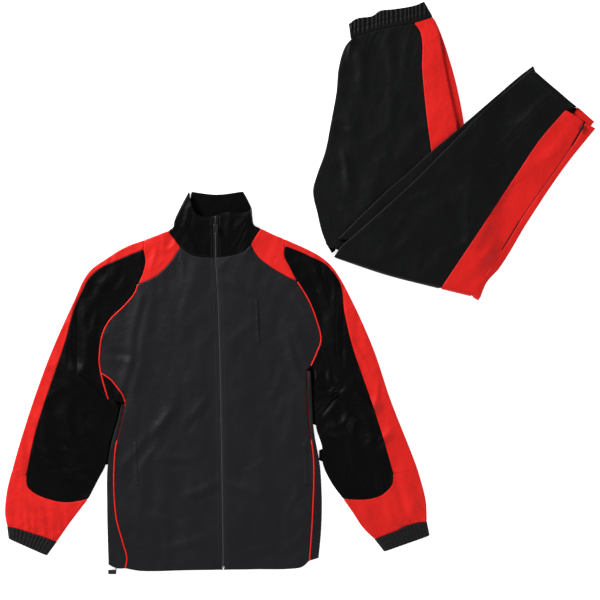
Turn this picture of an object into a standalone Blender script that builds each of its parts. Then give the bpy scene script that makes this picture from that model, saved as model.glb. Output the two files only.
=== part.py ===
"""A two-piece tracksuit laid out flat: a zipped jacket, and trousers folded in half and then across the knee.

The front of each garment faces up. X runs to the viewer's right, Y towards the collar and Z up from the
surface that the suit lies on. Sizes below are in millimetres.
"""

import math
from collections import namedtuple

import bmesh
import bpy
import numpy as np

TO_METRES = 0.001

# The middle of the whole suit, which becomes the origin
MIDDLE = (-2.2, 0.6)

# Cloth and seams
WALL = 1.5
SEAM_GAP = 0.3
PIPING_RADIUS = 1.5
FLOOR_LAYER = WALL / 2
WELD = 0.01
GRID_FADE = 2
FOLD_WIDTH = 3.0
FOLD_LIP = 6.0
FOLD_ANGLES = (60, 120, 180)

# How high the middle of each top wall lies
JACKET_TOP = 5.85
COLLAR_RISE = 11.0
UNDER_TOP = 4.6
LEG_TOP = 9.65
LEG_STEP = 10.7
LEG_STEPS = ((374.0, 1.0), (388.0, 0.8), (412.0, 0.2), (426.0, 0.0))
KNEE_FOLD_WIDTH = 9.0

# Fastenings
CHAIN_WIDTH = 2.0
TAPE_WIDTH = 14.0
TAPE_THICKNESS = 0.8
SLIDER = (9.0, 13.0, 3.4)
PULL_TAB = (6.4, 15.0, 1.6)
ANKLE_SLIDER = (6.0, 9.0, 2.6)
ANKLE_PULL_TAB = (4.6, 12.0, 1.4)
STOPPER = (17.0, 9.0, 8.0)

# Gathers
CUFF_WAVES = 13
CUFF_WAVE_HEIGHT = 0.9
WAIST_WAVES = 20
WAIST_WAVE_HEIGHT = 0.8

# Every seam and outline as a smooth line through a few (x, y) points, with the number of runs it is cut into.
Seam = namedtuple("Seam", "runs points")
JACKET_SEAMS = {
    "zip_body": Seam(21, ((-163, -590), (-166, -358), (-169, -203), (-173, -49), (-179, 65))),
    "zip_collar": Seam(5, ((-179, 65), (-179, 151))),
    "right_hem": Seam(8, ((-368, -587), (-340, -592), (-309, -593), (-233, -591), (-163, -590))),
    "right_side_hem": Seam(2, ((-404, -579), (-385, -587), (-368, -587))),
    "right_side": Seam(11, ((-368, -587), (-365, -564), (-373, -534), (-388, -476), (-391, -357), (-386, -319),
                            (-376, -276), (-368, -240))),
    "right_outline": Seam(11, ((-404, -579), (-407, -457), (-406, -377), (-397, -320), (-385, -278),
                               (-377, -245))),
    "right_gusset": Seam(3, ((-368, -240), (-374, -223), (-387, -205), (-400, -190), (-420, -177))),
    "right_armhole": Seam(7, ((-420, -177), (-423, -148), (-414, -90), (-398, -63), (-371, -37), (-347, -7),
                              (-342, 8))),
    "right_branch": Seam(3, ((-420, -177), (-412, -205), (-404, -232))),
    "right_insert_front": Seam(5, ((-342, 8), (-304, 26), (-273, 56), (-253, 87))),
    "right_insert_sleeve": Seam(2, ((-342, 8), (-331, 33), (-326, 56), (-330, 82))),
    "right_cap": Seam(2, ((-330, 82), (-328, 102))),
    "right_shoulder": Seam(5, ((-279, 121), (-304, 111), (-328, 102))),
    "right_neck": Seam(4, ((-279, 121), (-265, 102), (-253, 87))),
    "right_collar_seam": Seam(3, ((-253, 87), (-229, 70), (-202, 65), (-179, 65))),
    "right_collar_side": Seam(5, ((-279, 121), (-268, 129), (-266, 140), (-251, 173), (-235, 203))),
    "right_collar_top": Seam(7, ((-235, 203), (-228, 175), (-221, 159), (-202, 149), (-179, 151))),
    "right_stripe": Seam(12, ((-330, 82), (-376, 63), (-426, 39), (-445, 20), (-459, -7), (-473, -36),
                              (-494, -110), (-508, -152), (-544, -259), (-559, -310), (-576, -390))),
    "right_stripe_end": Seam(13, ((-576, -390), (-573, -416), (-559, -429), (-532, -441), (-500, -448),
                                 (-473, -447), (-446, -441))),
    "right_sleeve_outline": Seam(12, ((-328, 102), (-368, 87), (-412, 60), (-441, 39), (-456, 18), (-472, -17),
                                      (-523, -131), (-561, -234), (-588, -318), (-606, -381))),
    "right_sleeve_low": Seam(5, ((-606, -381), (-616, -419), (-621, -471), (-617, -498))),
    "right_cuff_seam": Seam(15, ((-617, -498), (-594, -504), (-559, -515), (-512, -531))),
    "right_pit": Seam(1, ((-404, -232), (-391, -236), (-381, -246))),
    "right_underarm": Seam(12, ((-381, -246), (-388, -278), (-400, -320), (-410, -371), (-426, -402),
                                (-446, -441))),
    "right_forearm": Seam(5, ((-446, -441), (-485, -492), (-512, -531))),
    "left_hem": Seam(8, ((-163, -590), (-94, -589), (-23, -588), (2, -584), (18, -571))),
    "left_side_hem": Seam(2, ((18, -571), (37, -565))),
    "left_side": Seam(13, ((18, -571), (24, -482), (27, -373), (25, -339), (18, -297), (14, -226), (12, -173))),
    "left_outline": Seam(13, ((37, -565), (42, -513), (44, -459), (43, -417), (40, -373), (27, -297),
                              (23, -226), (21, -173))),
    "left_armpit": Seam(1, ((12, -173), (21, -162))),
    "left_armhole": Seam(7, ((21, -162), (34, -133), (42, -108), (34, -70), (16, -24), (-7, 14))),
    "left_insert_front": Seam(5, ((-7, 14), (-27, 24), (-64, 46), (-89, 66), (-105, 91))),
    "left_insert_sleeve": Seam(2, ((-7, 14), (-15, 28), (-24, 46), (-35, 68), (-34, 89))),
    "left_cap": Seam(2, ((-34, 89), (-35, 104))),
    "left_shoulder": Seam(5, ((-84, 126), (-59, 114), (-35, 104))),
    "left_neck": Seam(4, ((-84, 126), (-97, 106), (-105, 91))),
    "left_collar_seam": Seam(3, ((-105, 91), (-120, 77), (-162, 66), (-179, 65))),
    "left_collar_side": Seam(5, ((-84, 126), (-98, 133), (-102, 152), (-105, 167))),
    "left_collar_top": Seam(7, ((-105, 167), (-113, 159), (-136, 159), (-158, 159), (-179, 151))),
    "left_stripe": Seam(12, ((-34, 89), (-2, 77), (22, 66), (50, 52), (71, 30), (82, 12), (91, -49),
                             (108, -121), (147, -234), (170, -305), (194, -388))),
    "left_stripe_end": Seam(9, ((194, -388), (191, -411), (174, -430), (151, -440), (125, -443), (88, -441))),
    "left_sleeve_outline": Seam(12, ((-35, 104), (16, 81), (44, 65), (65, 46), (84, 18), (102, -16),
                                     (127, -68), (155, -135), (188, -234), (231, -343), (244, -377))),
    "left_sleeve_low": Seam(5, ((244, -377), (251, -401), (262, -446), (264, -488))),
    "left_cuff_seam": Seam(11, ((264, -488), (222, -497), (193, -511), (154, -526))),
    "left_underarm": Seam(12, ((21, -162), (26, -173), (27, -226), (32, -293), (44, -333), (46, -369),
                               (64, -408), (88, -441))),
    "left_forearm": Seam(5, ((88, -441), (109, -471), (129, -501), (154, -526))),
}
TROUSER_SEAMS = {
    "waist_edge": Seam(40, ((100, 554), (116, 565), (150, 571), (164, 581), (195, 585), (239, 593), (258, 601))),
    "waist_seam": Seam(40, ((104, 522), (149, 538), (195, 549), (237, 556), (276, 569))),
    "waist_seam_black": Seam(7, ((104, 522), (149, 538), (195, 549), (237, 556))),
    "waist_seam_red": Seam(2, ((237, 556), (276, 569))),
    "waist_left": Seam(2, ((104, 522), (100, 554))),
    "waist_right": Seam(2, ((276, 569), (258, 601))),
    "thigh_outline": Seam(12, ((68, 65), (57, 85), (43, 120), (35, 154), (25, 205), (33, 237), (50, 285),
                               (63, 350), (74, 411), (79, 463), (92, 506), (104, 522))),
    "thigh_stripe": Seam(12, ((279, 3), (279, 186), (273, 287), (265, 345), (254, 455), (250, 537), (237, 556))),
    "thigh_fold": Seam(12, ((351, -14), (349, 102), (340, 228), (328, 335), (309, 427), (293, 511), (288, 541),
                            (276, 569))),
    "under_thigh_outline": Seam(9, ((361, -14), (357, 102), (351, 228), (342, 344), (330, 411), (313, 476),
                                     (291, 541), (280, 565))),
    "knee_black": Seam(7, ((68, 65), (178, 28), (291, -1))),
    "knee_stripe": Seam(2, ((291, -1), (357, -17))),
    "knee_end": Seam(2, ((357, -17), (372, -26))),
    "under_inseam": Seam(10, ((76, 103), (178, 203), (222, 241), (273, 287), (328, 333), (403, 398),
                              (464, 450), (487, 467))),
    "inseam": Seam(14, ((68, 65), (84, 88), (109, 110), (230, 219), (302, 291), (376, 366), (484, 460))),
    "leg_stripe": Seam(13, ((291, -1), (378, 129), (456, 246), (500, 311), (554, 374))),
    "leg_slit": Seam(13, ((357, -17), (416, 72), (460, 144), (580, 320), (594, 348))),
    "leg_outline": Seam(13, ((372, -26), (388, 12), (415, 42), (474, 138), (552, 254), (612, 329), (617, 335))),
    "hem_black": Seam(7, ((484, 460), (554, 400), (578, 380))),
    "hem_stripe": Seam(2, ((554, 374), (573, 363), (594, 348))),
    "hem_end": Seam(2, ((594, 348), (617, 335))),
    "under_hem": Seam(4, ((581, 380), (615, 350))),
    "under_hem_tuck": Seam(4, ((564, 362), (600, 330))),
}

# The largest folds: a soft ridge (or trough, with a negative rise) from one point to another.
Fold = namedtuple("Fold", "x1 y1 x2 y2 half_width rise")
JACKET_FOLDS = (
    Fold(-466, -180, -412, -222, 15, 6.0),
    Fold(-447, -301, -408, -333, 14, 4.5),
    Fold(-552, -346, -485, -381, 14, 4.0),
    Fold(-452, -50, -456, -165, 14, 3.5),
    Fold(-325, -25, -355, -200, 18, 4.0),
    Fold(-300, -300, -275, -262, 16, 3.0),
    Fold(70, -10, 78, -165, 16, 4.5),
    Fold(36, -195, 87, -212, 16, 7.0),
    Fold(60, -300, 120, -262, 14, 4.5),
    Fold(106, -236, 155, -245, 13, 4.0),
    Fold(150, -327, 180, -305, 13, 4.0),
    Fold(-17, -100, 16, -205, 18, 4.0),
    Fold(-138, -413, -96, -432, 16, 3.0),
)
LEG_FOLDS = (
    Fold(-2 + 355, 194, -2 + 356, 98, 14, 2.5),
    Fold(529, 402, 403, 272, 14, 2.5),
    Fold(92, 276, 101, 215, 14, 2.5),
    Fold(65, 345, 101, 337, 14, 2.5),
    Fold(105, 520, 120, 484, 12, 2.5),
)

# Flat trims that lie on a front: the middle of each end, with its width.
Trim = namedtuple("Trim", "x1 y1 x2 y2 width")
WELTS = {
    "right_pocket_welt": Trim(-349, -323, -345, -412, 9),
    "left_pocket_welt": Trim(8, -323, 12, -412, 9),
    "chest_pocket_welt": Trim(-93, -22, -89, -116, 6),
}

# Where each zip's slider sits, with the way its tab lies and the slope of the cloth, in degrees
ZIP_SLIDER_AT = (-178.5, 128.0)
ZIP_TAB_HEADING = 0.0
ZIP_SLOPE = 4.4
ANKLE_SLIDER_AT = (589.0, 338.0)
ANKLE_TAB_HEADING = -27.0
STOPPER_AT = (-396.0, -594.5)
CORD_RADIUS = 1.2

COLOURS = {
    "black cloth": (0.017, 0.017, 0.019, 0.62, 0.0),
    "red cloth": (0.75, 0.022, 0.016, 0.6, 0.0),
    "red piping": (0.7, 0.02, 0.015, 0.5, 0.0),
    "black plastic": (0.02, 0.02, 0.021, 0.4, 0.0),
    "bright metal": (0.62, 0.62, 0.63, 0.3, 1.0),
}


def material(name):
    """The named finish as a Principled BSDF."""
    if name in bpy.data.materials:
        return bpy.data.materials[name]
    red, green, blue, roughness, metallic = COLOURS[name]
    made = bpy.data.materials.new(name)
    made.use_nodes = True
    shader = made.node_tree.nodes["Principled BSDF"]
    shader.inputs["Base Color"].default_value = (red, green, blue, 1.0)
    shader.inputs["Roughness"].default_value = roughness
    shader.inputs["Metallic"].default_value = metallic
    return made


def smooth_line(points, runs):
    """A Catmull-Rom curve through the points, cut into equal runs."""
    knots = np.array(points, float)
    if len(knots) == 2:
        return knots[0] + np.linspace(0, 1, runs + 1)[:, None] * (knots[1] - knots[0])
    ends = np.vstack([2 * knots[0] - knots[1], knots, 2 * knots[-1] - knots[-2]])
    steps = np.linspace(0, 1, 24, endpoint=False)[:, None]
    curve = []
    for p0, p1, p2, p3 in zip(ends, ends[1:], ends[2:], ends[3:]):
        reach = np.linalg.norm(p2 - p1)
        before, after = np.linalg.norm(p1 - p0), np.linalg.norm(p3 - p2)
        out = reach * ((p2 - p1) / reach + (p1 - p0) / before) / 2
        into = reach * ((p2 - p1) / reach + (p3 - p2) / after) / 2
        curve.append(
            (2 * steps**3 - 3 * steps**2 + 1) * p1
            + (steps**3 - 2 * steps**2 + steps) * out
            + (3 * steps**2 - 2 * steps**3) * p2
            + (steps**3 - steps**2) * into
        )
    return resample(np.vstack(curve + [knots[-1:]]), runs)


def resample(curve, runs):
    along = np.concatenate([[0], np.cumsum(np.linalg.norm(np.diff(curve, axis=0), axis=1))])
    wanted = np.linspace(0, along[-1], runs + 1)
    return np.column_stack([np.interp(wanted, along, curve[:, axis]) for axis in range(2)])


def seam(name, runs=None):
    """A seam's points; a leading minus sign turns it round."""
    table = {**JACKET_SEAMS, **TROUSER_SEAMS}
    row = table[name.lstrip("-")]
    line = smooth_line(row.points, runs or row.runs)
    return line[::-1] if name.startswith("-") else line


def straight(start, end, runs):
    return smooth_line((start, end), runs)


def across_from(line, name):
    """The points of a seam that lie nearest to each point of a line, with the seam's own two ends."""
    dense = seam(name, 400)
    nearest = [dense[np.argmin(np.linalg.norm(dense - point, axis=1))] for point in line]
    return np.vstack([dense[:1], nearest[1:-1], dense[-1:]])


def smoothstep(value):
    value = np.clip(value, 0, 1)
    return value * value * (3 - 2 * value)


def fold_height(folds, x, y):
    """The rise of all folds at a point: each fades across its width and towards its ends."""
    total = 0.0
    for fold in folds:
        dx, dy = fold.x2 - fold.x1, fold.y2 - fold.y1
        length = math.hypot(dx, dy)
        along = ((x - fold.x1) * dx + (y - fold.y1) * dy) / length
        across = ((x - fold.x1) * dy - (y - fold.y1) * dx) / length
        past = max(0.0, -along, along - length)
        total += fold.rise * math.exp(-((across / fold.half_width) ** 2) - (past / (1.3 * fold.half_width)) ** 2)
    return total


def jacket_height(x, y, v=0):
    return JACKET_TOP + fold_height(JACKET_FOLDS, x, y)


def collar_height(x, y, v):
    return jacket_height(x, y) + COLLAR_RISE * math.sin(v * math.pi / 2)


def floor_height(x, y, v=0):
    return FLOOR_LAYER


def leg_shift(x):
    """How far the lower legs are lifted by the thighs under them: straight between the steps in the table."""
    places, shares = zip(*LEG_STEPS)
    return LEG_STEP * float(np.interp(x, places, shares))


def thigh_height(x, y, v=0):
    return LEG_TOP + fold_height(LEG_FOLDS[2:], x, y)


def leg_height(x, y, v=0):
    return LEG_TOP + fold_height(LEG_FOLDS[:2], x, y)


def under_leg_height(x, y, v=0):
    return UNDER_TOP


def under_thigh_height(x, y, v=0):
    return UNDER_TOP


def inset_loop(points, insets):
    """A closed line moved inwards, run by run, with mitred corners. insets holds one distance a run."""
    points = np.asarray(points, float)
    runs = np.roll(points, -1, axis=0) - points
    area = np.sum(points[:, 0] * np.roll(points[:, 1], -1) - np.roll(points[:, 0], -1) * points[:, 1])
    normals = np.column_stack([-runs[:, 1], runs[:, 0]]) * (1 if area > 0 else -1)
    normals /= np.linalg.norm(normals, axis=1)[:, None]
    moved = []
    for index, point in enumerate(points):
        first, second = normals[index - 1], normals[index]
        a, b = insets[index - 1], insets[index]
        turn = first[0] * second[1] - first[1] * second[0]
        if abs(turn) < 0.2:
            moved.append(point + (first + second) * (a + b) / 4)
        else:
            moved.append(point + np.array([a * second[1] - b * first[1], b * first[0] - a * second[0]]) / turn)
    return np.array(moved)


def coons(bottom, right, top, left, fade=1):
    """The grid that fills four sides; bottom and top run to the right, left and right run up. A greater fade
    takes the shape of the bottom and top out of the grid sooner."""
    u = np.linspace(0, 1, len(bottom))[None, :, None]
    v = np.linspace(0, 1, len(left))[:, None, None]
    ruled = (1 - u) * left[:, None] + u * right[:, None]
    bottom_bow = bottom[None] - (1 - u) * bottom[0] - u * bottom[-1]
    top_bow = top[None] - (1 - u) * top[0] - u * top[-1]
    return ruled + (1 - v) ** fade * bottom_bow + v**fade * top_bow


class Outline:
    """Four sides of a panel, each made of seams with an inset of their own."""

    def __init__(self, bottom, right, top, left):
        self.counts = []
        loop, self.insets, self.owner = [], [], []
        for index, (side, backwards) in enumerate(((bottom, 0), (right, 0), (top, 1), (left, 1))):
            points, insets = [], []
            for line, inset in side:
                points.extend(line[:-1])
                insets.extend([inset] * (len(line) - 1))
            points.append(side[-1][0][-1])
            self.counts.append(len(points) - 1)
            if backwards:
                points, insets = points[::-1], insets[::-1]
            loop.extend(points[:-1])
            self.insets.extend(insets)
            self.owner.extend([index] * len(insets))
        self.loop = np.array(loop)
        if self.counts[0] != self.counts[2] or self.counts[1] != self.counts[3]:
            raise ValueError(f"opposite sides have {self.counts} runs")

    def sides(self, changed, extra=0.0):
        """The four sides, with changed[side] in place of that side's own inset and extra added to all."""
        insets = [changed.get(owner, inset) + extra for owner, inset in zip(self.owner, self.insets)]
        loop = inset_loop(self.loop, insets)
        loop = np.vstack([loop, loop[:1]])
        marks = np.concatenate([[0], np.cumsum(self.counts)])
        bottom, right, top, left = (loop[a : b + 1] for a, b in zip(marks, marks[1:]))
        return bottom, right, top[::-1], left[::-1]


SIDE_NAMES = ("bottom", "right", "top", "left")


def panel_grid(outline, height, folds):
    """Points (rows, columns, xyz) of a panel whose named sides turn under. folds[side] = (width, lip, base)."""
    folds = {SIDE_NAMES.index(name): fold for name, fold in folds.items()}
    flat = outline.sides({side: fold[0] for side, fold in folds.items()})
    outer = outline.sides({side: WALL / 2 for side in folds})
    lips = outline.sides({side: fold[0] + fold[1] for side, fold in folds.items()})
    grid = coons(*flat, fade=GRID_FADE)
    rows, columns = grid.shape[:2]
    v = np.linspace(0, 1, rows)
    top = np.array([[height(x, y, v[i]) for x, y in line] for i, line in enumerate(grid)])

    def turned(side, index, step):
        """(shift in x and y, height) of one point of a turned side, step by step from its top."""
        if side not in folds or step == 0:
            return np.zeros(2), None
        start = flat[side][index]
        row = index if side in (1, 3) else (0 if side == 0 else rows - 1)
        column = index if side in (0, 2) else (0 if side == 3 else columns - 1)
        base = folds[side][2](*start)
        drop = (top[row, column] - base) / 2
        if step > len(FOLD_ANGLES):
            return lips[side][index] - start, base
        angle = math.radians(FOLD_ANGLES[step - 1])
        return (outer[side][index] - start) * math.sin(angle), base + drop * (1 + math.cos(angle))

    steps = len(FOLD_ANGLES) + 1
    before_rows = steps if 0 in folds else 0
    after_rows = steps if 2 in folds else 0
    before_columns = steps if 3 in folds else 0
    after_columns = steps if 1 in folds else 0
    points = np.zeros((before_rows + rows + after_rows, before_columns + columns + after_columns, 3))
    for i in range(points.shape[0]):
        row = min(max(i - before_rows, 0), rows - 1)
        row_side = 0 if i < before_rows else 2
        row_step = max(before_rows - i, i - before_rows - rows + 1, 0)
        for j in range(points.shape[1]):
            column = min(max(j - before_columns, 0), columns - 1)
            column_side = 3 if j < before_columns else 1
            column_step = max(before_columns - j, j - before_columns - columns + 1, 0)
            shift_a, low_a = turned(row_side, column, row_step)
            shift_b, low_b = turned(column_side, row, column_step)
            if low_a is not None and low_b is not None:
                points[i, j] = np.nan
                continue
            points[i, j, :2] = grid[row, column] + shift_a + shift_b
            points[i, j, 2] = top[row, column] if low_a is low_b else (low_a or 0) + (low_b or 0)
    return points


def finish_object(name, mesh, finish, location=(0, 0, 0)):
    made = bpy.data.objects.new(name, mesh)
    made.location = [value * TO_METRES for value in location]
    mesh.materials.append(material(finish))
    PARTS.objects.link(made)
    return made


def lift_over_thighs(bm, lowest):
    """Cuts a lower leg's mesh along each step of the table and lifts it by the table's heights."""
    for place, share in LEG_STEPS:
        bmesh.ops.bisect_plane(
            bm, geom=bm.verts[:] + bm.edges[:] + bm.faces[:], plane_co=(place * TO_METRES, 0, 0), plane_no=(1, 0, 0)
        )
    for vert in bm.verts:
        lifted = vert.co.z / TO_METRES + leg_shift(vert.co.x / TO_METRES)
        vert.co.z = max(lifted, lowest) * TO_METRES


def grid_mesh(name, grids, weld=0.0, lifted=False):
    """One mesh of grids of points, each a Blender grid whose points are moved into place."""
    bm = bmesh.new()
    for points in grids:
        rows, columns = points.shape[:2]
        made = bmesh.ops.create_grid(bm, x_segments=columns - 1, y_segments=rows - 1, size=1.0)["verts"]
        made.sort(key=lambda vert: (round(vert.co.y, 5), round(vert.co.x, 5)))
        for vert, place in zip(made, points.reshape(-1, 3)):
            vert.co = [value * TO_METRES for value in place]
        bmesh.ops.delete(bm, geom=[vert for vert in made if math.isnan(vert.co.x)], context="VERTS")
    if weld:
        bmesh.ops.remove_doubles(bm, verts=bm.verts, dist=weld * TO_METRES)
    if lifted:
        lift_over_thighs(bm, FLOOR_LAYER)
    bmesh.ops.recalc_face_normals(bm, faces=bm.faces)
    mesh = bpy.data.meshes.new(name)
    bm.to_mesh(mesh)
    bm.free()
    mesh.shade_smooth()
    return mesh


def thicken(made):
    wall = made.modifiers.new("Cloth thickness", "SOLIDIFY")
    wall.thickness = WALL * TO_METRES
    wall.offset = 0
    return wall


def cloth(name, grids, finish, weld=0.0, lifted=False):
    made = finish_object(name, grid_mesh(name, grids, weld, lifted), finish)
    thicken(made).use_even_offset = True
    return made


def piping(name, line, height):
    """A corded tube along a seam, its middle level with the middle of the cloth."""
    curve = bpy.data.curves.new(name, "CURVE")
    curve.dimensions = "3D"
    curve.bevel_depth = PIPING_RADIUS * TO_METRES
    curve.bevel_resolution = 1
    curve.use_fill_caps = True
    spline = curve.splines.new("POLY")
    spline.points.add(len(line) - 1)
    for point, (x, y) in zip(spline.points, line):
        point.co = (x * TO_METRES, y * TO_METRES, (height(x, y) + 0.3) * TO_METRES, 1)
    return finish_object(name, curve, "red piping")


def sweep(name, path, section, finish):
    """A closed bar: a section of (across, up) points carried along a path of (x, y, z) points."""
    path = np.asarray(path, float)
    ahead = np.gradient(path, axis=0)
    ahead[:, 2] = 0
    ahead /= np.linalg.norm(ahead, axis=1)[:, None]
    across = np.column_stack([ahead[:, 1], -ahead[:, 0], np.zeros(len(path))])
    bm = bmesh.new()
    rings = []
    for place, side in zip(path, across):
        ring = [place + side * u + np.array([0, 0, w]) for u, w in section]
        rings.append([bm.verts.new([value * TO_METRES for value in point]) for point in ring])
    for first, second in zip(rings, rings[1:]):
        for k in range(len(section)):
            bm.faces.new((first[k - 1], first[k], second[k], second[k - 1]))
    bm.faces.new(rings[0])
    bm.faces.new(rings[-1])
    bmesh.ops.recalc_face_normals(bm, faces=bm.faces)
    mesh = bpy.data.meshes.new(name)
    bm.to_mesh(mesh)
    bm.free()
    return finish_object(name, mesh, finish)


def layered_solid(name, outline, rings, thickness, finish, lifted=False):
    """Hidden layers as one solid, whose rim follows rings of (height, extra inset)."""
    bm = bmesh.new()

    def put(x, y, z):
        return bm.verts.new((x * TO_METRES, y * TO_METRES, z * TO_METRES))

    def level(extra):
        return outline.sides({}, extra)

    def border(grid):
        rows, columns = grid.shape
        return (
            list(grid[0, :]) + list(grid[1:, -1]) + list(grid[-1, -2::-1]) + list(grid[-2:0:-1, 0])
        )

    faces = []
    for height, extra in (rings[0], (thickness, rings[-1][1])):
        spots = coons(*level(extra))
        faces.append(np.array([[put(x, y, height) for x, y in line] for line in spots], dtype=object))
        grid = faces[-1]
        for i in range(grid.shape[0] - 1):
            for j in range(grid.shape[1] - 1):
                bm.faces.new((grid[i, j], grid[i, j + 1], grid[i + 1, j + 1], grid[i + 1, j]))
    loops = [border(faces[0])]
    for height, extra in rings[1:]:
        bottom, right, top, left = level(extra)
        loop = np.vstack([bottom, right[1:], top[-2::-1], left[-2:0:-1]])
        loops.append([put(x, y, height) for x, y in loop])
    loops.append(border(faces[1]))
    for first, second in zip(loops, loops[1:]):
        for k in range(len(first)):
            bm.faces.new((first[k - 1], first[k], second[k], second[k - 1]))
    if lifted:
        lift_over_thighs(bm, 0.0)
    bmesh.ops.recalc_face_normals(bm, faces=bm.faces)
    mesh = bpy.data.meshes.new(name)
    bm.to_mesh(mesh)
    bm.free()
    return finish_object(name, mesh, finish)


def box(name, size, finish, bevel=0.4, location=(0, 0, 0)):
    bm = bmesh.new()
    bmesh.ops.create_cube(bm, size=1.0)
    for vert in bm.verts:
        vert.co = [value * side * TO_METRES for value, side in zip(vert.co, size)]
    mesh = bpy.data.meshes.new(name)
    bm.to_mesh(mesh)
    bm.free()
    made = finish_object(name, mesh, finish, location)
    if bevel:
        rounding = made.modifiers.new("Rounded edges", "BEVEL")
        rounding.width = bevel * TO_METRES
        rounding.segments = 2
    return made


def helper_box(name, size, location):
    made = box(name, size, "bright metal", 0, location)
    PARTS.objects.unlink(made)
    CUTTERS.objects.link(made)
    made.hide_render = True
    made.display_type = "WIRE"
    return made


def combine(made, operation, tool):
    step = made.modifiers.new(operation.title(), "BOOLEAN")
    step.operation = operation
    step.object = tool


def zip_pull(prefix, at, base, heading, slope, body, tab):
    """A slider with its bail, and the tab that swings on it; at rest the tab lies along the heading."""
    width, length, height = body
    mount = bpy.data.objects.new(prefix + "_place", None)
    PARTS.objects.link(mount)
    mount.location = [value * TO_METRES for value in (*at, base)]
    mount.rotation_euler = (math.radians(slope), 0, math.radians(heading))
    bail_width, bail_length, bail_height = 0.26 * width, 0.5 * length, 0.95 * height
    bar = tab[2]
    axis_height = height + 0.3 + bar / 2
    slider = box(prefix + "_slider", body, "bright metal", 0.18 * width, (0, 0, height / 2))
    bail = helper_box(prefix + "_bail", (bail_width, bail_length, 2 * bail_height), (0, 0, height))
    gap = helper_box(prefix + "_bail_gap", (2 * bail_width, bail_length - 2.2, 1.7 * bar), (0, 0, height))
    gap.location.z = (height + 0.85 * bar) * TO_METRES
    combine(slider, "UNION", bail)
    combine(slider, "DIFFERENCE", gap)
    tab_width, tab_length, tab_thickness = tab
    middle = tab_thickness / 2 - tab_length / 2
    plate = box(prefix + "_pull_tab", tab, "bright metal", 0.3)
    for vert in plate.data.vertices:
        vert.co.y += middle * TO_METRES
    plate.location = (0, 0, axis_height * TO_METRES)
    slot_length = bail_length / 2 + 2.2
    slot = helper_box(
        prefix + "_tab_slot",
        (bail_width + 1.3, slot_length, 3 * tab_thickness),
        (0, -tab_thickness / 2 - slot_length / 2, axis_height),
    )
    eye = helper_box(prefix + "_tab_eye", (0.45 * tab_width, 0.16 * tab_length, 3 * tab_thickness), (0, 0, 0))
    eye.location = (0, (tab_thickness / 2 - 0.84 * tab_length) * TO_METRES, axis_height * TO_METRES)
    combine(plate, "DIFFERENCE", slot)
    combine(plate, "DIFFERENCE", eye)
    for piece in (slider, bail, gap, plate, slot, eye):
        piece.parent = mount


def cuff(name, seam_name, end_points, waves):
    """A gathered elastic band: a flattened tube from the sleeve's end to the cuff's edge."""
    start = seam(seam_name)
    first, last = np.array(start[0]), np.array(start[-1])
    end = straight(end_points[0], end_points[1], len(start) - 1)
    shares = np.linspace(0, 1, len(start))
    around = 6 * waves // 2
    rows = 4
    points = []
    for row in range(rows):
        t = row / (rows - 1)
        spine = start * (1 - t) + end * t
        ahead = (end[0] + end[-1] - first - last) / 2
        gap = ahead / np.linalg.norm(ahead) * 2 * SEAM_GAP * (1 - t)
        across = (spine[-1] - spine[0]) / np.linalg.norm(spine[-1] - spine[0])
        line = []
        for k in range(around):
            share = k / around * 2
            s = share if share <= 1 else 2 - share
            rounded = (1 - abs(2 * s - 1) ** 8) ** 0.5
            place = np.array([np.interp(s, shares, spine[:, axis]) for axis in (0, 1)]) + gap
            place += across * (WALL / 2) * (1 - 2 * s)
            if share <= 1:
                gather = CUFF_WAVE_HEIGHT * math.cos(2 * math.pi * waves * s) * min(1, 6 * s * (1 - s))
                z = FLOOR_LAYER + (JACKET_TOP + 1.2 - FLOOR_LAYER + gather) * rounded
            else:
                z = FLOOR_LAYER
            line.append((*place, z))
        points.append(line)
    bm = bmesh.new()
    rings = [[bm.verts.new([value * TO_METRES for value in point]) for point in line] for line in points]
    for low, high in zip(rings, rings[1:]):
        for k in range(around):
            bm.faces.new((low[k - 1], low[k], high[k], high[k - 1]))
    bmesh.ops.recalc_face_normals(bm, faces=bm.faces)
    mesh = bpy.data.meshes.new(name)
    bm.to_mesh(mesh)
    bm.free()
    made = finish_object(name, mesh, "black cloth")
    thicken(made)
    return made


PLAIN = 0.2
PIPED = PIPING_RADIUS + SEAM_GAP
ZIPPED = CHAIN_WIDTH / 2 + SEAM_GAP
FREE = WALL / 2


def to_floor(x, y):
    return FLOOR_LAYER


JACKET_FOLD = (FOLD_WIDTH, FOLD_LIP, to_floor)
STRIPE_FOLD = (2.4, 2.2, to_floor)


def flat_back(name, outline):
    """A panel that lies flat on the surface, as one face with the cloth's thickness."""
    bm = bmesh.new()
    loop = inset_loop(outline.loop, outline.insets)
    bm.faces.new([bm.verts.new((x * TO_METRES, y * TO_METRES, FLOOR_LAYER * TO_METRES)) for x, y in loop])
    mesh = bpy.data.meshes.new(name)
    bm.to_mesh(mesh)
    bm.free()
    thicken(finish_object(name, mesh, "black cloth"))


def make_fronts():
    right = Outline(
        bottom=[(seam("right_hem"), FREE)],
        right=[(seam("zip_body"), ZIPPED)],
        top=[(seam("right_insert_front"), PLAIN), (seam("right_collar_seam"), PLAIN)],
        left=[(seam("right_side"), PIPED), (seam("right_gusset"), PIPED), (seam("right_armhole"), PIPED)],
    )
    cloth("right_front", [panel_grid(right, jacket_height, {})], "black cloth")
    left = Outline(
        bottom=[(seam("left_hem"), FREE)],
        right=[(seam("left_side"), PIPED), (seam("left_armpit"), PIPED), (seam("left_armhole"), PIPED)],
        top=[(seam("-left_collar_seam"), PLAIN), (seam("-left_insert_front"), PLAIN)],
        left=[(seam("zip_body"), ZIPPED)],
    )
    cloth("left_front", [panel_grid(left, jacket_height, {})], "black cloth")


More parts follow.
